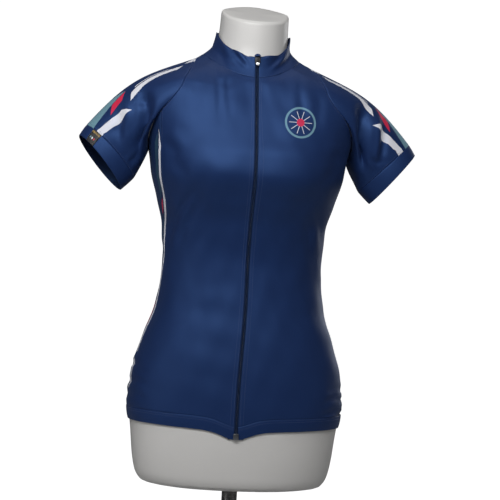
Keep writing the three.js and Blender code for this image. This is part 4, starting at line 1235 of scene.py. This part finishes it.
def cloth_wall(name, grids, finish, closed=False, maps=None, inside="Inside"):
    """A closed wall of cloth between an outer and an inner grid."""
    outer, inner = grids
    rows, columns = outer.shape[:2]
    corners, hidden = wall_faces(rows, columns, closed)
    points = np.concatenate([outer.reshape(-1, 3), inner.reshape(-1, 3)])
    faces = corners[..., 0] * rows * columns + corners[..., 1] * columns + corners[..., 2] % columns
    if not outward(points, faces):
        faces, corners = faces[:, ::-1], corners[:, ::-1]
    places = {"Cloth": cut_place(outer, closed), **(maps or {})}
    at = {key: place[corners[..., 1], corners[..., 2]] for key, place in places.items()}
    if "Bars" in at:
        at["Bars"] = kept_apart(at["Bars"])
    uv_maps = {key: place.reshape(-1, 2) for key, place in at.items()}
    return add_mesh(name, points, faces, (finish, inside), uv_maps, hidden.astype(np.int32))


def flat_size(grid, closed):
    """Width, length and area in metres of the cloth that a grid lies on."""
    points = grown(grid) if closed else grid
    width, length = path_lengths(points, 1)[:, -1].max(), path_lengths(points, 0)[-1].max()
    a = points[1:, :-1] - points[:-1, :-1]
    b = points[:-1, 1:] - points[:-1, :-1]
    c, d = points[1:, :-1] - points[1:, 1:], points[:-1, 1:] - points[1:, 1:]
    area = (np.linalg.norm(np.cross(a, b), axis=-1) + np.linalg.norm(np.cross(c, d), axis=-1)).sum() / 2
    return [float(width * MM), float(length * MM), float(area * MM * MM)]


def settle_piece(piece, nodes, body=JERSEY):
    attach(piece, body)
    if nodes:
        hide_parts(*nodes)
    return piece


def sheet(name, nodes, slot, grids, finish, held, rests_on, closed=False, **wall):
    """A sheet of cloth between two grids, in place of its nodes."""
    piece = settle_piece(cloth_wall(name, grids, finish, closed, **wall), nodes)
    width, length, area = flat_size(grids[0], closed)


def ridge_place(grid):
    """Each point's place by a sleeve's ridge line: mm across to the front, and mm along it."""
    line = grid[:, 0]
    run = np.concatenate([[0], np.cumsum(np.linalg.norm(np.diff(line, axis=0), axis=1))])
    points = grown(grid).reshape(-1, 1, 3)
    start, way = line[:-1], np.diff(line, axis=0)
    share = clamp01(((points - start) * way).sum(-1) / (way**2).sum(-1))
    gap = np.linalg.norm(points - start - way * share[..., None], axis=-1)
    best = gap.argmin(1)
    index = np.arange(len(best))
    along = run[best] + share[index, best] * np.diff(run)[best]
    half = grid.shape[1] // 2
    sign = np.where(np.arange(grid.shape[1] + 1) <= half, 1, -1)
    across = gap[index, best].reshape(grid.shape[0], -1) * sign
    return np.stack([across, along.reshape(across.shape)], -1)


SEWING_SIDES, SEWING_RINGS = 6, 4


def repeat_tree(name, across):
    """Sets a bead at every pitch along the lines: a stitch along them, or a coil's turn across."""
    if name in bpy.data.node_groups:
        return bpy.data.node_groups[name]
    tree = bpy.data.node_groups.new(name, "GeometryNodeTree")
    tree.interface.new_socket(name="Lines", in_out="INPUT", socket_type="NodeSocketGeometry")
    for key, kind in (("Pitch", "Float"), ("Bead", "Vector"), ("Finish", "Material")):
        tree.interface.new_socket(name=key, in_out="INPUT", socket_type="NodeSocket" + kind)
    tree.interface.new_socket(name="Beads", in_out="OUTPUT", socket_type="NodeSocketGeometry")
    w = Wiring(tree)
    given, result = w.node("NodeGroupInput").outputs, w.node("NodeGroupOutput")
    curve = w.node("GeometryNodeMeshToCurve", {0: given["Lines"]})
    walk = {"Curve": curve.outputs[0], "Length": given["Pitch"]}
    points = w.node("GeometryNodeCurveToPoints", walk, mode="LENGTH")
    turn = w.node("FunctionNodeAlignRotationToVector", {"Vector": points.outputs["Tangent"]},
                  axis="Z" if across else "X", pivot_axis="X" if across else "AUTO")
    ball = {"Segments": SEWING_SIDES, "Rings": SEWING_RINGS, "Radius": 0.5}
    bead = w.node("GeometryNodeMeshUVSphere", ball)
    shaped = w.node("GeometryNodeTransform", {"Geometry": bead.outputs["Mesh"], "Scale": given["Bead"]})
    placed = w.node("GeometryNodeInstanceOnPoints", {
        "Points": points.outputs["Points"], "Instance": shaped.outputs[0], "Rotation": turn.outputs[0]})
    real = w.node("GeometryNodeRealizeInstances", {0: placed.outputs[0]})
    soft = w.node("GeometryNodeSetShadeSmooth", {"Geometry": real.outputs[0]})
    finish = w.node("GeometryNodeSetMaterial", {"Geometry": soft.outputs[0], "Material": given["Finish"]})
    w.put(result.inputs[0], finish.outputs[0])
    return tree


def repeat_along(name, lines, pitch, bead, finish, across=False):
    """Beads along open lines of points in mm, as one plain mesh."""
    points = np.concatenate(lines)
    starts = np.cumsum([0] + [len(line) for line in lines])
    edges = [(i, i + 1) for a, b in zip(starts, starts[1:]) for i in range(a, b - 1)]
    mesh = bpy.data.meshes.new(name + "_lines")
    mesh.from_pydata((points * MM).tolist(), edges, [])
    carrier = set_out(name + "_lines", mesh)
    tree = repeat_tree("Coil turns" if across else "Stitches", across)
    modifier = carrier.modifiers.new("Repeat", "NODES")
    modifier.node_group = tree
    values = {"Pitch": pitch, "Bead": bead, "Finish": material(finish)}
    for item in tree.interface.items_tree:
        if item.in_out == "INPUT" and item.name in values:
            modifier[item.identifier] = values[item.name]
    made = bpy.data.meshes.new_from_object(carrier.evaluated_get(bpy.context.evaluated_depsgraph_get()))
    bpy.data.objects.remove(carrier)
    made.name = name
    return set_out(name, made)


def sew(name, lines):
    """Straight stitches along lines of the cloth."""
    bead = (sizes().stitch_length, sizes().thread, sizes().thread)
    piece = repeat_along(name, lines, sizes().stitch_pitch, bead, "Thread")
    return settle_piece(piece, [])


def near_row(grid, distance, from_end=False):
    """The row of a grid nearest to a distance in mm from its first or last row."""
    run = path_lengths(grid, 0).mean(1)
    target = run[-1] - distance if from_end else distance
    return grid[np.abs(run - target).argmin()]


def near_column(grid, distance, from_end=False):
    return near_row(np.swapaxes(grid, 0, 1), distance, from_end)


def closed_line(row):
    return np.concatenate([row, row[:1]])


# Shapes with a sharper edge than this are shaded with a crease.
TURNED_CREASE, HARD_CREASE = radians(35), radians(40)


def turned(name, profile, finish, sides):
    """A shape turned round the stand's axis from radii and heights in mm, closed at both ends."""
    radius, height = np.array(profile, float).T
    angle = np.linspace(0, 2 * pi, sides, endpoint=False)
    ways = (radius, np.cos(angle)), (radius, np.sin(angle)), (height, np.ones(sides))
    return capped_rings(name, np.stack([np.outer(*way) for way in ways], -1), finish)


def capped_rings(name, rings, finish):
    """A closed skin over stacked rings, with a middle point at each end."""
    rows, columns = rings.shape[:2]
    points = np.concatenate([rings.reshape(-1, 3), [rings[0].mean(0)], [rings[-1].mean(0)]])
    r, c = (v.ravel() for v in np.meshgrid(np.arange(rows - 1), np.arange(columns), indexing="ij"))
    d = (c + 1) % columns
    walls = np.stack([r * columns + c, r * columns + d, (r + 1) * columns + d, (r + 1) * columns + c], 1)
    c, d = np.arange(columns), (np.arange(columns) + 1) % columns
    low, high = rows * columns, rows * columns + 1
    top = (rows - 1) * columns
    faces = walls.tolist() + [[low, b, a] for a, b in zip(c, d)]
    faces += [[high, top + a, top + b] for a, b in zip(c, d)]
    mesh = bpy.data.meshes.new(name)
    mesh.from_pydata((points * MM).tolist(), [], faces)
    shell = bmesh.new()
    shell.from_mesh(mesh)
    bmesh.ops.recalc_face_normals(shell, faces=shell.faces)
    shell.to_mesh(mesh)
    shell.free()
    mesh.materials.append(material(finish))
    mesh.shade_smooth()
    mesh.set_sharp_from_angle(angle=TURNED_CREASE)
    return set_out(name, mesh)


# The form's rim at the neck and its half width there, the foot's last fine ring, and its rings.
NECK_ROUND, NECK_HALF, FOOT_TOP, FOOT_RINGS, FORM_RINGS, FORM_SIDES = 4.5, 52, 330, 18, 190, 192


def form_rings():
    """The dress form's skin: figure rings with a rounded foot and a rounded, tilted neck top."""
    angle = np.linspace(-180, 180, FORM_SIDES, endpoint=False)
    low, high = FIGURE["level"][0], FIGURE["level"][-1]
    steps = np.linspace(low, FOOT_TOP, FOOT_RINGS), np.linspace(FOOT_TOP, high, FORM_RINGS)[1:]
    rings = figure(angle[None], np.concatenate(steps)[:, None])
    under, top_ring = rings[:1], rings[-1:]
    foot = [mix(under.mean(1, keepdims=True), under, share) for share in (0.93, 0.975)]
    foot[0][..., 2], foot[1][..., 2] = low, low + 0.1
    middle = top_ring.mean(1, keepdims=True)
    top = []
    for turn in np.linspace(0, pi / 2, 8):
        share = 1 - NECK_ROUND * (1 - cos(turn)) / NECK_HALF
        top.append(mix(middle, top_ring, share) + [0, 0, NECK_ROUND * (sin(turn) - 1)])
    top += [mix(middle, top_ring, share) for share in (0.6, 0.3)]
    below = top_ring[..., 2].max() - NECK_ROUND - 1
    return np.concatenate([*foot, *(row[None] for row in rings[1:-1] if row[:, 2].max() < below), *top])


# Radii and heights in mm of the turned parts of the stand.
POLE = [(0.001, 12.3), (12, 12.3), (12, 292.5), (11.4, 293.6), (0.001, 294.2)]
FOOT = [
    (0.001, 0), (147.5, 0), (149.3, 0.7), (150, 2), (150, 8.6), (149.2, 10.6), (147.2, 11.6), (144, 12),
    (24, 12), (0.001, 12),
]
POLE_COLLAR = [(12.4, 12.2), (21, 12.2), (22, 13), (22, 26), (21.2, 27.4), (19, 28), (13.6, 28), (12.4, 27.2)]
# How far the stitches run from an edge, in mm.
SEAM_STITCH, ZIP_STITCHES, SLEEVE_STITCH, COLLAR_STITCH = 3, (2.2, 6.2), 2.4, 1.9
HEM_STITCHES, POCKET_STITCH = (2.4, 5.4), 2.5


class JERSEY_OT_stand(bpy.types.Operator):
    """Make the dress form's skin, its pole and its round foot"""
    bl_idname = "jersey.stand"
    bl_label = "Dress form and stand"

    def execute(self, context):
        settle_piece(capped_rings("form_skin", form_rings(), "Form shell"), ["form"])
        settle_piece(turned("pole_tube", POLE, "Stand metal", 64), ["pole"])
        settle_piece(turned("foot_plate", FOOT, "Stand metal", 160), ["foot"])
        settle_piece(turned("pole_collar", POLE_COLLAR, "Stand metal", 64), [])
        return {"FINISHED"}


class JERSEY_OT_fronts(bpy.types.Operator):
    """Make the two fronts with their stitched zip edges"""
    bl_idname = "jersey.fronts"
    bl_label = "Fronts"

    def execute(self, context):
        for name, side in SIDES.items():
            grids = body_cloth(*front_places(side), folded=True)
            finish = "Navy knit with badge" if side > 0 else "Navy knit"
            sheet(f"front_cloth_{name}", [f"front_{name}"], "navy_knit", grids, finish, "stretched", ["form"])
            lines = [near_column(grids[0], distance) for distance in ZIP_STITCHES]
            sew(f"front_stitches_{name}", [*lines, near_column(grids[0], SEAM_STITCH, True)])
        return {"FINISHED"}


class JERSEY_OT_back(bpy.types.Operator):
    """Make the back panel"""
    bl_idname = "jersey.back"
    bl_label = "Back"

    def execute(self, context):
        grids = body_cloth(*back_places())
        sheet("back_cloth", ["back"], "navy_knit", grids, "Navy knit", "stretched", ["form"])
        sew("back_stitches", [near_column(grids[0], SEAM_STITCH, from_end) for from_end in (False, True)])
        return {"FINISHED"}


class JERSEY_OT_sides(bpy.types.Operator):
    """Make the two side panels with their broken speed bars"""
    bl_idname = "jersey.sides"
    bl_label = "Side panels"

    def execute(self, context):
        for name, side in SIDES.items():
            grids = body_cloth(*side_places(side))
            bars = {"Bars": cut_place(grids[0], False)}
            sheet(f"side_cloth_{name}", [f"side_{name}"], "side_knit", grids, "Side knit",
                  "stretched", ["form"], maps=bars)
        return {"FINISHED"}


class JERSEY_OT_sleeves(bpy.types.Operator):
    """Make the raglan sleeves, which hang empty"""
    bl_idname = "jersey.sleeves"
    bl_label = "Sleeves"

    def execute(self, context):
        for name, side in SIDES.items():
            grids = sleeve_grids(side)
            bars = {"Bars": ridge_place(grids[0])}
            sheet(f"sleeve_cloth_{name}", [f"sleeve_{name}"], "navy_knit", grids, "Sleeve knit",
                  "hung", ["form"], closed=True, maps=bars)
            rows = near_row(grids[0], SLEEVE_STITCH), near_row(grids[0], SEAM_STITCH, True)
            sew(f"sleeve_stitches_{name}", [closed_line(row) for row in rows])
        return {"FINISHED"}


class JERSEY_OT_cuffs(bpy.types.Operator):
    """Make the doubled cuff bands and the woven tab on the right one"""
    bl_idname = "jersey.cuffs"
    bl_label = "Cuff bands and tab"

    def execute(self, context):
        for name, side in SIDES.items():
            sheet(f"cuff_cloth_{name}", [f"cuff_{name}"], "band_knit", cuff_grids(side), "Navy knit",
                  "stretched", [f"sleeve_cloth_{name}"], closed=True)
        sheet("cuff_tab_weave", ["cuff_tab"], "woven_tab", tab_grids(), "Woven tab",
              "laid", ["cuff_cloth_right"], inside="Woven tab")
        return {"FINISHED"}


# The turns between which the tab lies, its faces' heights off the band and its edge's rounding.
TAB_TURNS, TAB_LOW, TAB_HIGH, TAB_EDGE = (41.5, 61.5), 0.4, 1.25, (0.7, 0.3)


def tab_grids():
    """The woven tab lies on the right cuff band between two turns."""
    turn, along = np.meshgrid(np.linspace(*TAB_TURNS, 13), spaced("cuff")[1:-1])
    out = rim(-1, turn)
    base = cuff_base(-1, turn, along) + out * BAND_SWELL * np.sin(pi * along)[..., None]
    high = TAB_HIGH - sum(edge_turn(distance, *TAB_EDGE) for distance in border_distances(base))
    return base + out * high[..., None], base + out * TAB_LOW


class JERSEY_OT_collar(bpy.types.Operator):
    """Make the stand collar"""
    bl_idname = "jersey.collar"
    bl_label = "Stand collar"

    def execute(self, context):
        grids = collar_grids()
        sheet("collar_cloth", ["collar"], "navy_knit", grids, "Navy knit", "stretched", ["form"])
        sew("collar_stitches", [near_row(grids[0], COLLAR_STITCH), near_row(grids[0], SEAM_STITCH, True)])
        return {"FINISHED"}


class JERSEY_OT_hem(bpy.types.Operator):
    """Make the hem band"""
    bl_idname = "jersey.hem"
    bl_label = "Hem band"

    def execute(self, context):
        grids = hem_grids()
        sheet("hem_cloth", ["hem_band"], "band_knit", grids, "Navy knit", "stretched", ["form"])
        sew("hem_stitches", [near_row(grids[0], distance, True) for distance in HEM_STITCHES])
        return {"FINISHED"}


class JERSEY_OT_pockets(bpy.types.Operator):
    """Make the three rear pockets and their mouth binding"""
    bl_idname = "jersey.pockets"
    bl_label = "Rear pockets"

    def execute(self, context):
        shares = np.concatenate([[0.004], np.linspace(0.01, POCKET_TOP - 0.01, 60), [POCKET_TOP - 0.0005]])
        panel = pocket_grids(shares)
        sheet("pocket_cloth", ["pocket_panel"], "navy_knit", panel, "Navy knit", "stretched", ["back_cloth"])
        binding = pocket_grids(np.linspace(POCKET_TOP + 0.0005, BINDING_TOP, 8), BINDING_EDGE)
        sheet("pocket_binding_cloth", ["pocket_binding"], "band_knit", binding, "Binding",
              "stretched", ["back_cloth"], inside="Binding")
        last = panel[0].shape[1]
        columns = [2, last // POCKETS, 2 * (last // POCKETS), last - 3]
        lines = [panel[0][:, column + shift] for column in columns for shift in (0, 1)]
        sew("pocket_stitches", [*lines, near_row(panel[0], POCKET_STITCH)])
        return {"FINISHED"}


# The zip in mm: its tape's points away from the teeth, heights off the form, and a coil's turn.
TAPE_AWAY = np.array([0.2, 0.5, 1.6, 2.8, 4.5, 7.0, 9.5, 12.0])
TAPE_HIGH, TAPE_THICK, COIL_AWAY, COIL_HIGH, COIL_TURN = 2.05, 0.55, 1.15, 2.55, (2.5, 1.15, 0.95)


class JERSEY_OT_zip(bpy.types.Operator):
    """Make the zip's tapes, with a coil of nylon turns along each"""
    bl_idname = "jersey.zip"
    bl_label = "Zip tapes and coil"

    def execute(self, context):
        turn = tuple(size * MM for size in COIL_TURN)
        for name, side in SIDES.items():
            grids = [np.stack([zip_line(side * away, high) for away in TAPE_AWAY], 1)
                     for high in (TAPE_HIGH, TAPE_HIGH - TAPE_THICK)]
            sheet(f"zip_tape_{name}", [f"zip_{name}"], "zip_tape", grids, "Zip tape",
                  "stretched", ["form"], inside="Zip tape")
            line = zip_line(side * COIL_AWAY, COIL_HIGH)[2 if side > 0 else 3 : -2]
            coil = repeat_along(f"zip_coil_{name}", [line], sizes().coil_pitch, turn, "Zip coil", across=True)
            settle_piece(coil, [])
        sheet("zip_garage", [], "navy_knit", garage_grids(), "Navy knit", "folded", ["collar_cloth"])
        return {"FINISHED"}


# The height under which the pull tab is bright, and the hood over the zip's end, in mm.
TAB_TIP = 944.6
GARAGE = {"height": 955.4, "half": 4.9, "out": 2.9, "rise": 4.4, "middle": 1.0, "cloth": 0.9}


def garage_grids():
    """A small hood of cloth over the zip's top end, open below."""
    way, over = np.meshgrid(np.radians(np.linspace(-78, 78, 19)), np.linspace(0, pi, 17))
    frame_here = zip_frame(COLLAR_FRONT - 3)
    lift = GARAGE["height"] - frame_here[2, 3]

    def skin(less):
        half, out, rise = (GARAGE[key] - less for key in ("half", "out", "rise"))
        local = np.stack([-half * np.sin(way), GARAGE["middle"] - out * np.cos(way) * np.cos(over),
                          lift + rise * np.cos(way) * np.sin(over)], -1)
        return local @ frame_here[:3, :3].T + frame_here[:3, 3]

    return skin(0), skin(GARAGE["cloth"])


# Points of a hard piece nearer than this are one, faces flatter than this are one, and edges
# sharper than this are rounded.
MERGED, FLAT, SHARP = 0.01 * MM, radians(2), radians(25)


def rounded(name, node, finish, radius, tip_finish=None, tip_height=0.0):
    """A hard piece on its node's form with rounded edges, and another finish below a height in mm."""
    source = bpy.data.objects[node]
    shell = bmesh.new()
    shell.from_mesh(source.data)
    shell.transform(source.matrix_world)
    bmesh.ops.remove_doubles(shell, verts=shell.verts, dist=MERGED)
    bmesh.ops.dissolve_limit(shell, angle_limit=FLAT, verts=shell.verts, edges=shell.edges)
    sharp = [edge for edge in shell.edges if len(edge.link_faces) == 2 and edge.calc_face_angle() > SHARP]
    bmesh.ops.bevel(
        shell, geom=sharp, offset=radius * MM, segments=3, profile=0.5, affect="EDGES", clamp_overlap=True)
    bmesh.ops.triangulate(shell, faces=shell.faces)
    bmesh.ops.recalc_face_normals(shell, faces=shell.faces)
    mesh = bpy.data.meshes.new(name)
    for face in shell.faces:
        face.smooth = True
        face.material_index = int(tip_finish is not None and face.calc_center_median().z < tip_height * MM)
    shell.to_mesh(mesh)
    shell.free()
    for given in filter(None, (finish, tip_finish)):
        mesh.materials.append(material(given))
    mesh.set_sharp_from_angle(angle=HARD_CREASE)
    return set_out(name, mesh)


class JERSEY_OT_slider(bpy.types.Operator):
    """Make the slider, its bridge, the pull tab and the zip box with rounded edges"""
    bl_idname = "jersey.slider"
    bl_label = "Slider, pull tab and zip box"

    def execute(self, context):
        body = rounded("slider_body", "zip_slider", "Black lacquer", 0.45)
        settle_piece(body, ["zip_slider"])
        bridge = rounded("slider_bridge", "zip_bridge", "Black lacquer", 0.18)
        settle_piece(bridge, ["zip_bridge"])
        tab = rounded("pull_tab_plate", "pull_tab", "Black lacquer", 0.2, "Bright metal", TAB_TIP)
        settle_piece(tab, ["pull_tab"], "pull_tab")
        box = rounded("zip_box_end", "zip_box", "Dark metal", 0.5)
        settle_piece(box, ["zip_box"])
        return {"FINISHED"}


# Soft studio lights in metres: size, energy, place and where they point.
LIGHTS = table("name wide high energy x y z to_x to_y to_z", [
    ("key", 1.7, 0.45, 27, -0.4, -1.4, 1.74, 0, 0, 0.84),
    ("fill left", 1.2, 1.6, 7.0, -2.3, -1.3, 0.9, 0, 0, 0.75),
    ("fill right", 1.4, 1.8, 2.6, 2.6, -1.6, 1.2, 0, 0, 0.8),
    ("top", 1.2, 1.2, 5, 0.1, 0.2, 2.7, 0, 0, 0.6),
    ("back", 1.4, 1.4, 12, 2.3, 2.4, 1.3, 0, 0, 0.75),
])
# The camera's turn and roll in degrees, its place in metres, and its focal length in picture pixels.
CAMERA_TURN, CAMERA_ROLL = 6.5, 3.1
CAMERA_BACK, CAMERA_SIDE, CAMERA_HEIGHT = 2.6, 0.01166, 0.662
FOCAL_PIXELS, PICTURE, SENSOR = 2600 / 1.555, 500, 36
# The floor and the curved backdrop in metres, how much light their paint returns, and how much
# paler each looks to the camera.
FLOOR_HALF, SWEEP_HALF, SWEEP_FROM, SWEEP_OFF, WALL_AT, WALL_TOP, COVE = 9.0, 2.8, 1.6, 0.002, 7.0, 3.0, 1.2
PAINT, FLOOR_PALER, SWEEP_PALER = 0.5, 0.62, 1.0
ROOM_LIGHT, ROOM_STRENGTH = (0.97, 0.98, 1.0, 1), 0.075


def studio_paint(name, strength):
    """Matt white paint with a faint unevenness, which looks paler than it lights the jersey."""
    made, w, principled = new_material(name, Roughness=0.9)
    own = w.node("ShaderNodeTexCoord").outputs["Object"]
    noise = w.node("ShaderNodeTexNoise", {"Vector": own, "Scale": 1.2, "Detail": 2.0})
    shade = w.math("MULTIPLY_ADD", noise.outputs[0], 0.02, PAINT - 0.01)
    colour = w.node("ShaderNodeCombineXYZ", {0: shade, 1: shade, 2: shade})
    w.put(principled.inputs["Base Color"], colour.outputs[0])
    principled.inputs["Emission Color"].default_value = (1, 1, 1, 1)
    seen = w.node("ShaderNodeLightPath").outputs["Is Camera Ray"]
    w.put(principled.inputs["Emission Strength"], w.math("MULTIPLY", seen, strength))
    return made


class JERSEY_OT_studio(bpy.types.Operator):
    """Make the pale floor and its curved backdrop, the soft lights and the camera"""
    bl_idname = "jersey.studio"
    bl_label = "Studio"

    def execute(self, context):
        half = FLOOR_HALF
        floor = [(-half, -half, 0), (half, -half, 0), (half, half, 0), (-half, half, 0)]
        self.add_stage("studio_floor", floor, [(0, 1, 2, 3)], studio_paint("Studio floor", FLOOR_PALER))
        bend = np.linspace(0, pi / 2, 24)
        profile = [(SWEEP_FROM, SWEEP_OFF)]
        profile += [(WALL_AT - COVE + COVE * sin(a), SWEEP_OFF + COVE - COVE * cos(a)) for a in bend]
        profile.append((WALL_AT, WALL_TOP))
        aside = tan(radians(CAMERA_TURN))
        points = [(x + y * aside, y, z) for y, z in profile for x in (-SWEEP_HALF, SWEEP_HALF)]
        faces = [(2 * i, 2 * i + 1, 2 * i + 3, 2 * i + 2) for i in range(len(profile) - 1)]
        self.add_stage("studio_sweep", points, faces, studio_paint("Studio sweep", SWEEP_PALER))
        for row in zip(*LIGHTS.values()):
            self.add_light(*row)
        context.scene.world = self.room()
        context.scene.view_settings.view_transform = "Standard"
        self.add_camera(context)
        return {"FINISHED"}

    def room(self):
        """Dim light from all round, which the camera sees as white."""
        world = bpy.data.worlds.new("Studio")
        world.use_nodes = True
        w = Wiring(world.node_tree)
        dim = world.node_tree.nodes["Background"]
        dim.inputs[0].default_value, dim.inputs[1].default_value = ROOM_LIGHT, ROOM_STRENGTH
        pale = w.node("ShaderNodeBackground", {"Color": (1.0, 1.0, 1.0, 1.0), "Strength": 1.0})
        seen = w.node("ShaderNodeLightPath").outputs["Is Camera Ray"]
        both = w.node("ShaderNodeMixShader", {0: seen, 1: dim.outputs[0], 2: pale.outputs[0]})
        w.put(world.node_tree.nodes["World Output"].inputs[0], both.outputs[0])
        return world

    def add_stage(self, name, points, faces, finish):
        mesh = bpy.data.meshes.new(name)
        mesh.from_pydata(points, [], faces)
        mesh.shade_smooth()
        mesh.materials.append(finish)
        set_out(name, mesh)

    def add_light(self, name, wide, high, energy, x, y, z, to_x, to_y, to_z):
        lamp = bpy.data.lights.new(name, "AREA")
        lamp.shape, lamp.size, lamp.size_y, lamp.energy = "RECTANGLE", wide, high, energy
        made = set_out(name, lamp)
        made.location = (x, y, z)
        made.rotation_euler = (Vector((to_x, to_y, to_z)) - made.location).to_track_quat("-Z", "Y").to_euler()

    def add_camera(self, context):
        turn, roll = radians(CAMERA_TURN), radians(CAMERA_ROLL)
        right, ahead = Vector((cos(turn), -sin(turn), 0)), Vector((sin(turn), cos(turn), 0))
        up = Vector((0, 0, 1))
        across, over = right * cos(roll) + up * sin(roll), up * cos(roll) - right * sin(roll)
        camera = bpy.data.cameras.new("camera")
        camera.sensor_width = SENSOR
        camera.lens = SENSOR * FOCAL_PIXELS / PICTURE
        camera.clip_end = 50
        made = set_out("camera", camera)
        place = ahead * -CAMERA_BACK + right * CAMERA_SIDE + up * CAMERA_HEIGHT
        turned_to = Matrix((across, over, -ahead)).transposed().to_4x4()
        made.matrix_world = Matrix.Translation(place) @ turned_to
        context.scene.camera = made


PIECES = (
    JERSEY_OT_stand, JERSEY_OT_fronts, JERSEY_OT_back, JERSEY_OT_sides, JERSEY_OT_sleeves, JERSEY_OT_cuffs,
    JERSEY_OT_collar, JERSEY_OT_hem, JERSEY_OT_pockets, JERSEY_OT_zip, JERSEY_OT_slider, JERSEY_OT_studio,
)


class JERSEY_PT_panel(bpy.types.Panel):
    """Lists the jersey's pieces, sizes and colours"""
    bl_idname = "JERSEY_PT_panel"
    bl_label = "Cycling jersey"
    bl_space_type = "VIEW_3D"
    bl_region_type = "UI"
    bl_category = "Jersey"

    def draw(self, context):
        for group in (context.scene.jersey_sizes, context.scene.jersey_colours):
            for key in group.bl_rna.properties.keys():
                if key not in ("rna_type", "name"):
                    self.layout.prop(group, key)
        for operator in PIECES:
            self.layout.operator(operator.bl_idname)


CLASSES = (JerseySizes, JerseyColours, *PIECES, JERSEY_PT_panel)


def register():
    for made in CLASSES:
        bpy.utils.register_class(made)
    bpy.types.Scene.jersey_sizes = bpy.props.PointerProperty(type=JerseySizes)
    bpy.types.Scene.jersey_colours = bpy.props.PointerProperty(type=JerseyColours)


def unregister():
    del bpy.types.Scene.jersey_sizes
    del bpy.types.Scene.jersey_colours
    for made in reversed(CLASSES):
        bpy.utils.unregister_class(made)


def main():
    register()
    for operator in PIECES:
        family, name = operator.bl_idname.split(".")
        getattr(getattr(bpy.ops, family), name)()


if __name__ == "__main__":
    main()
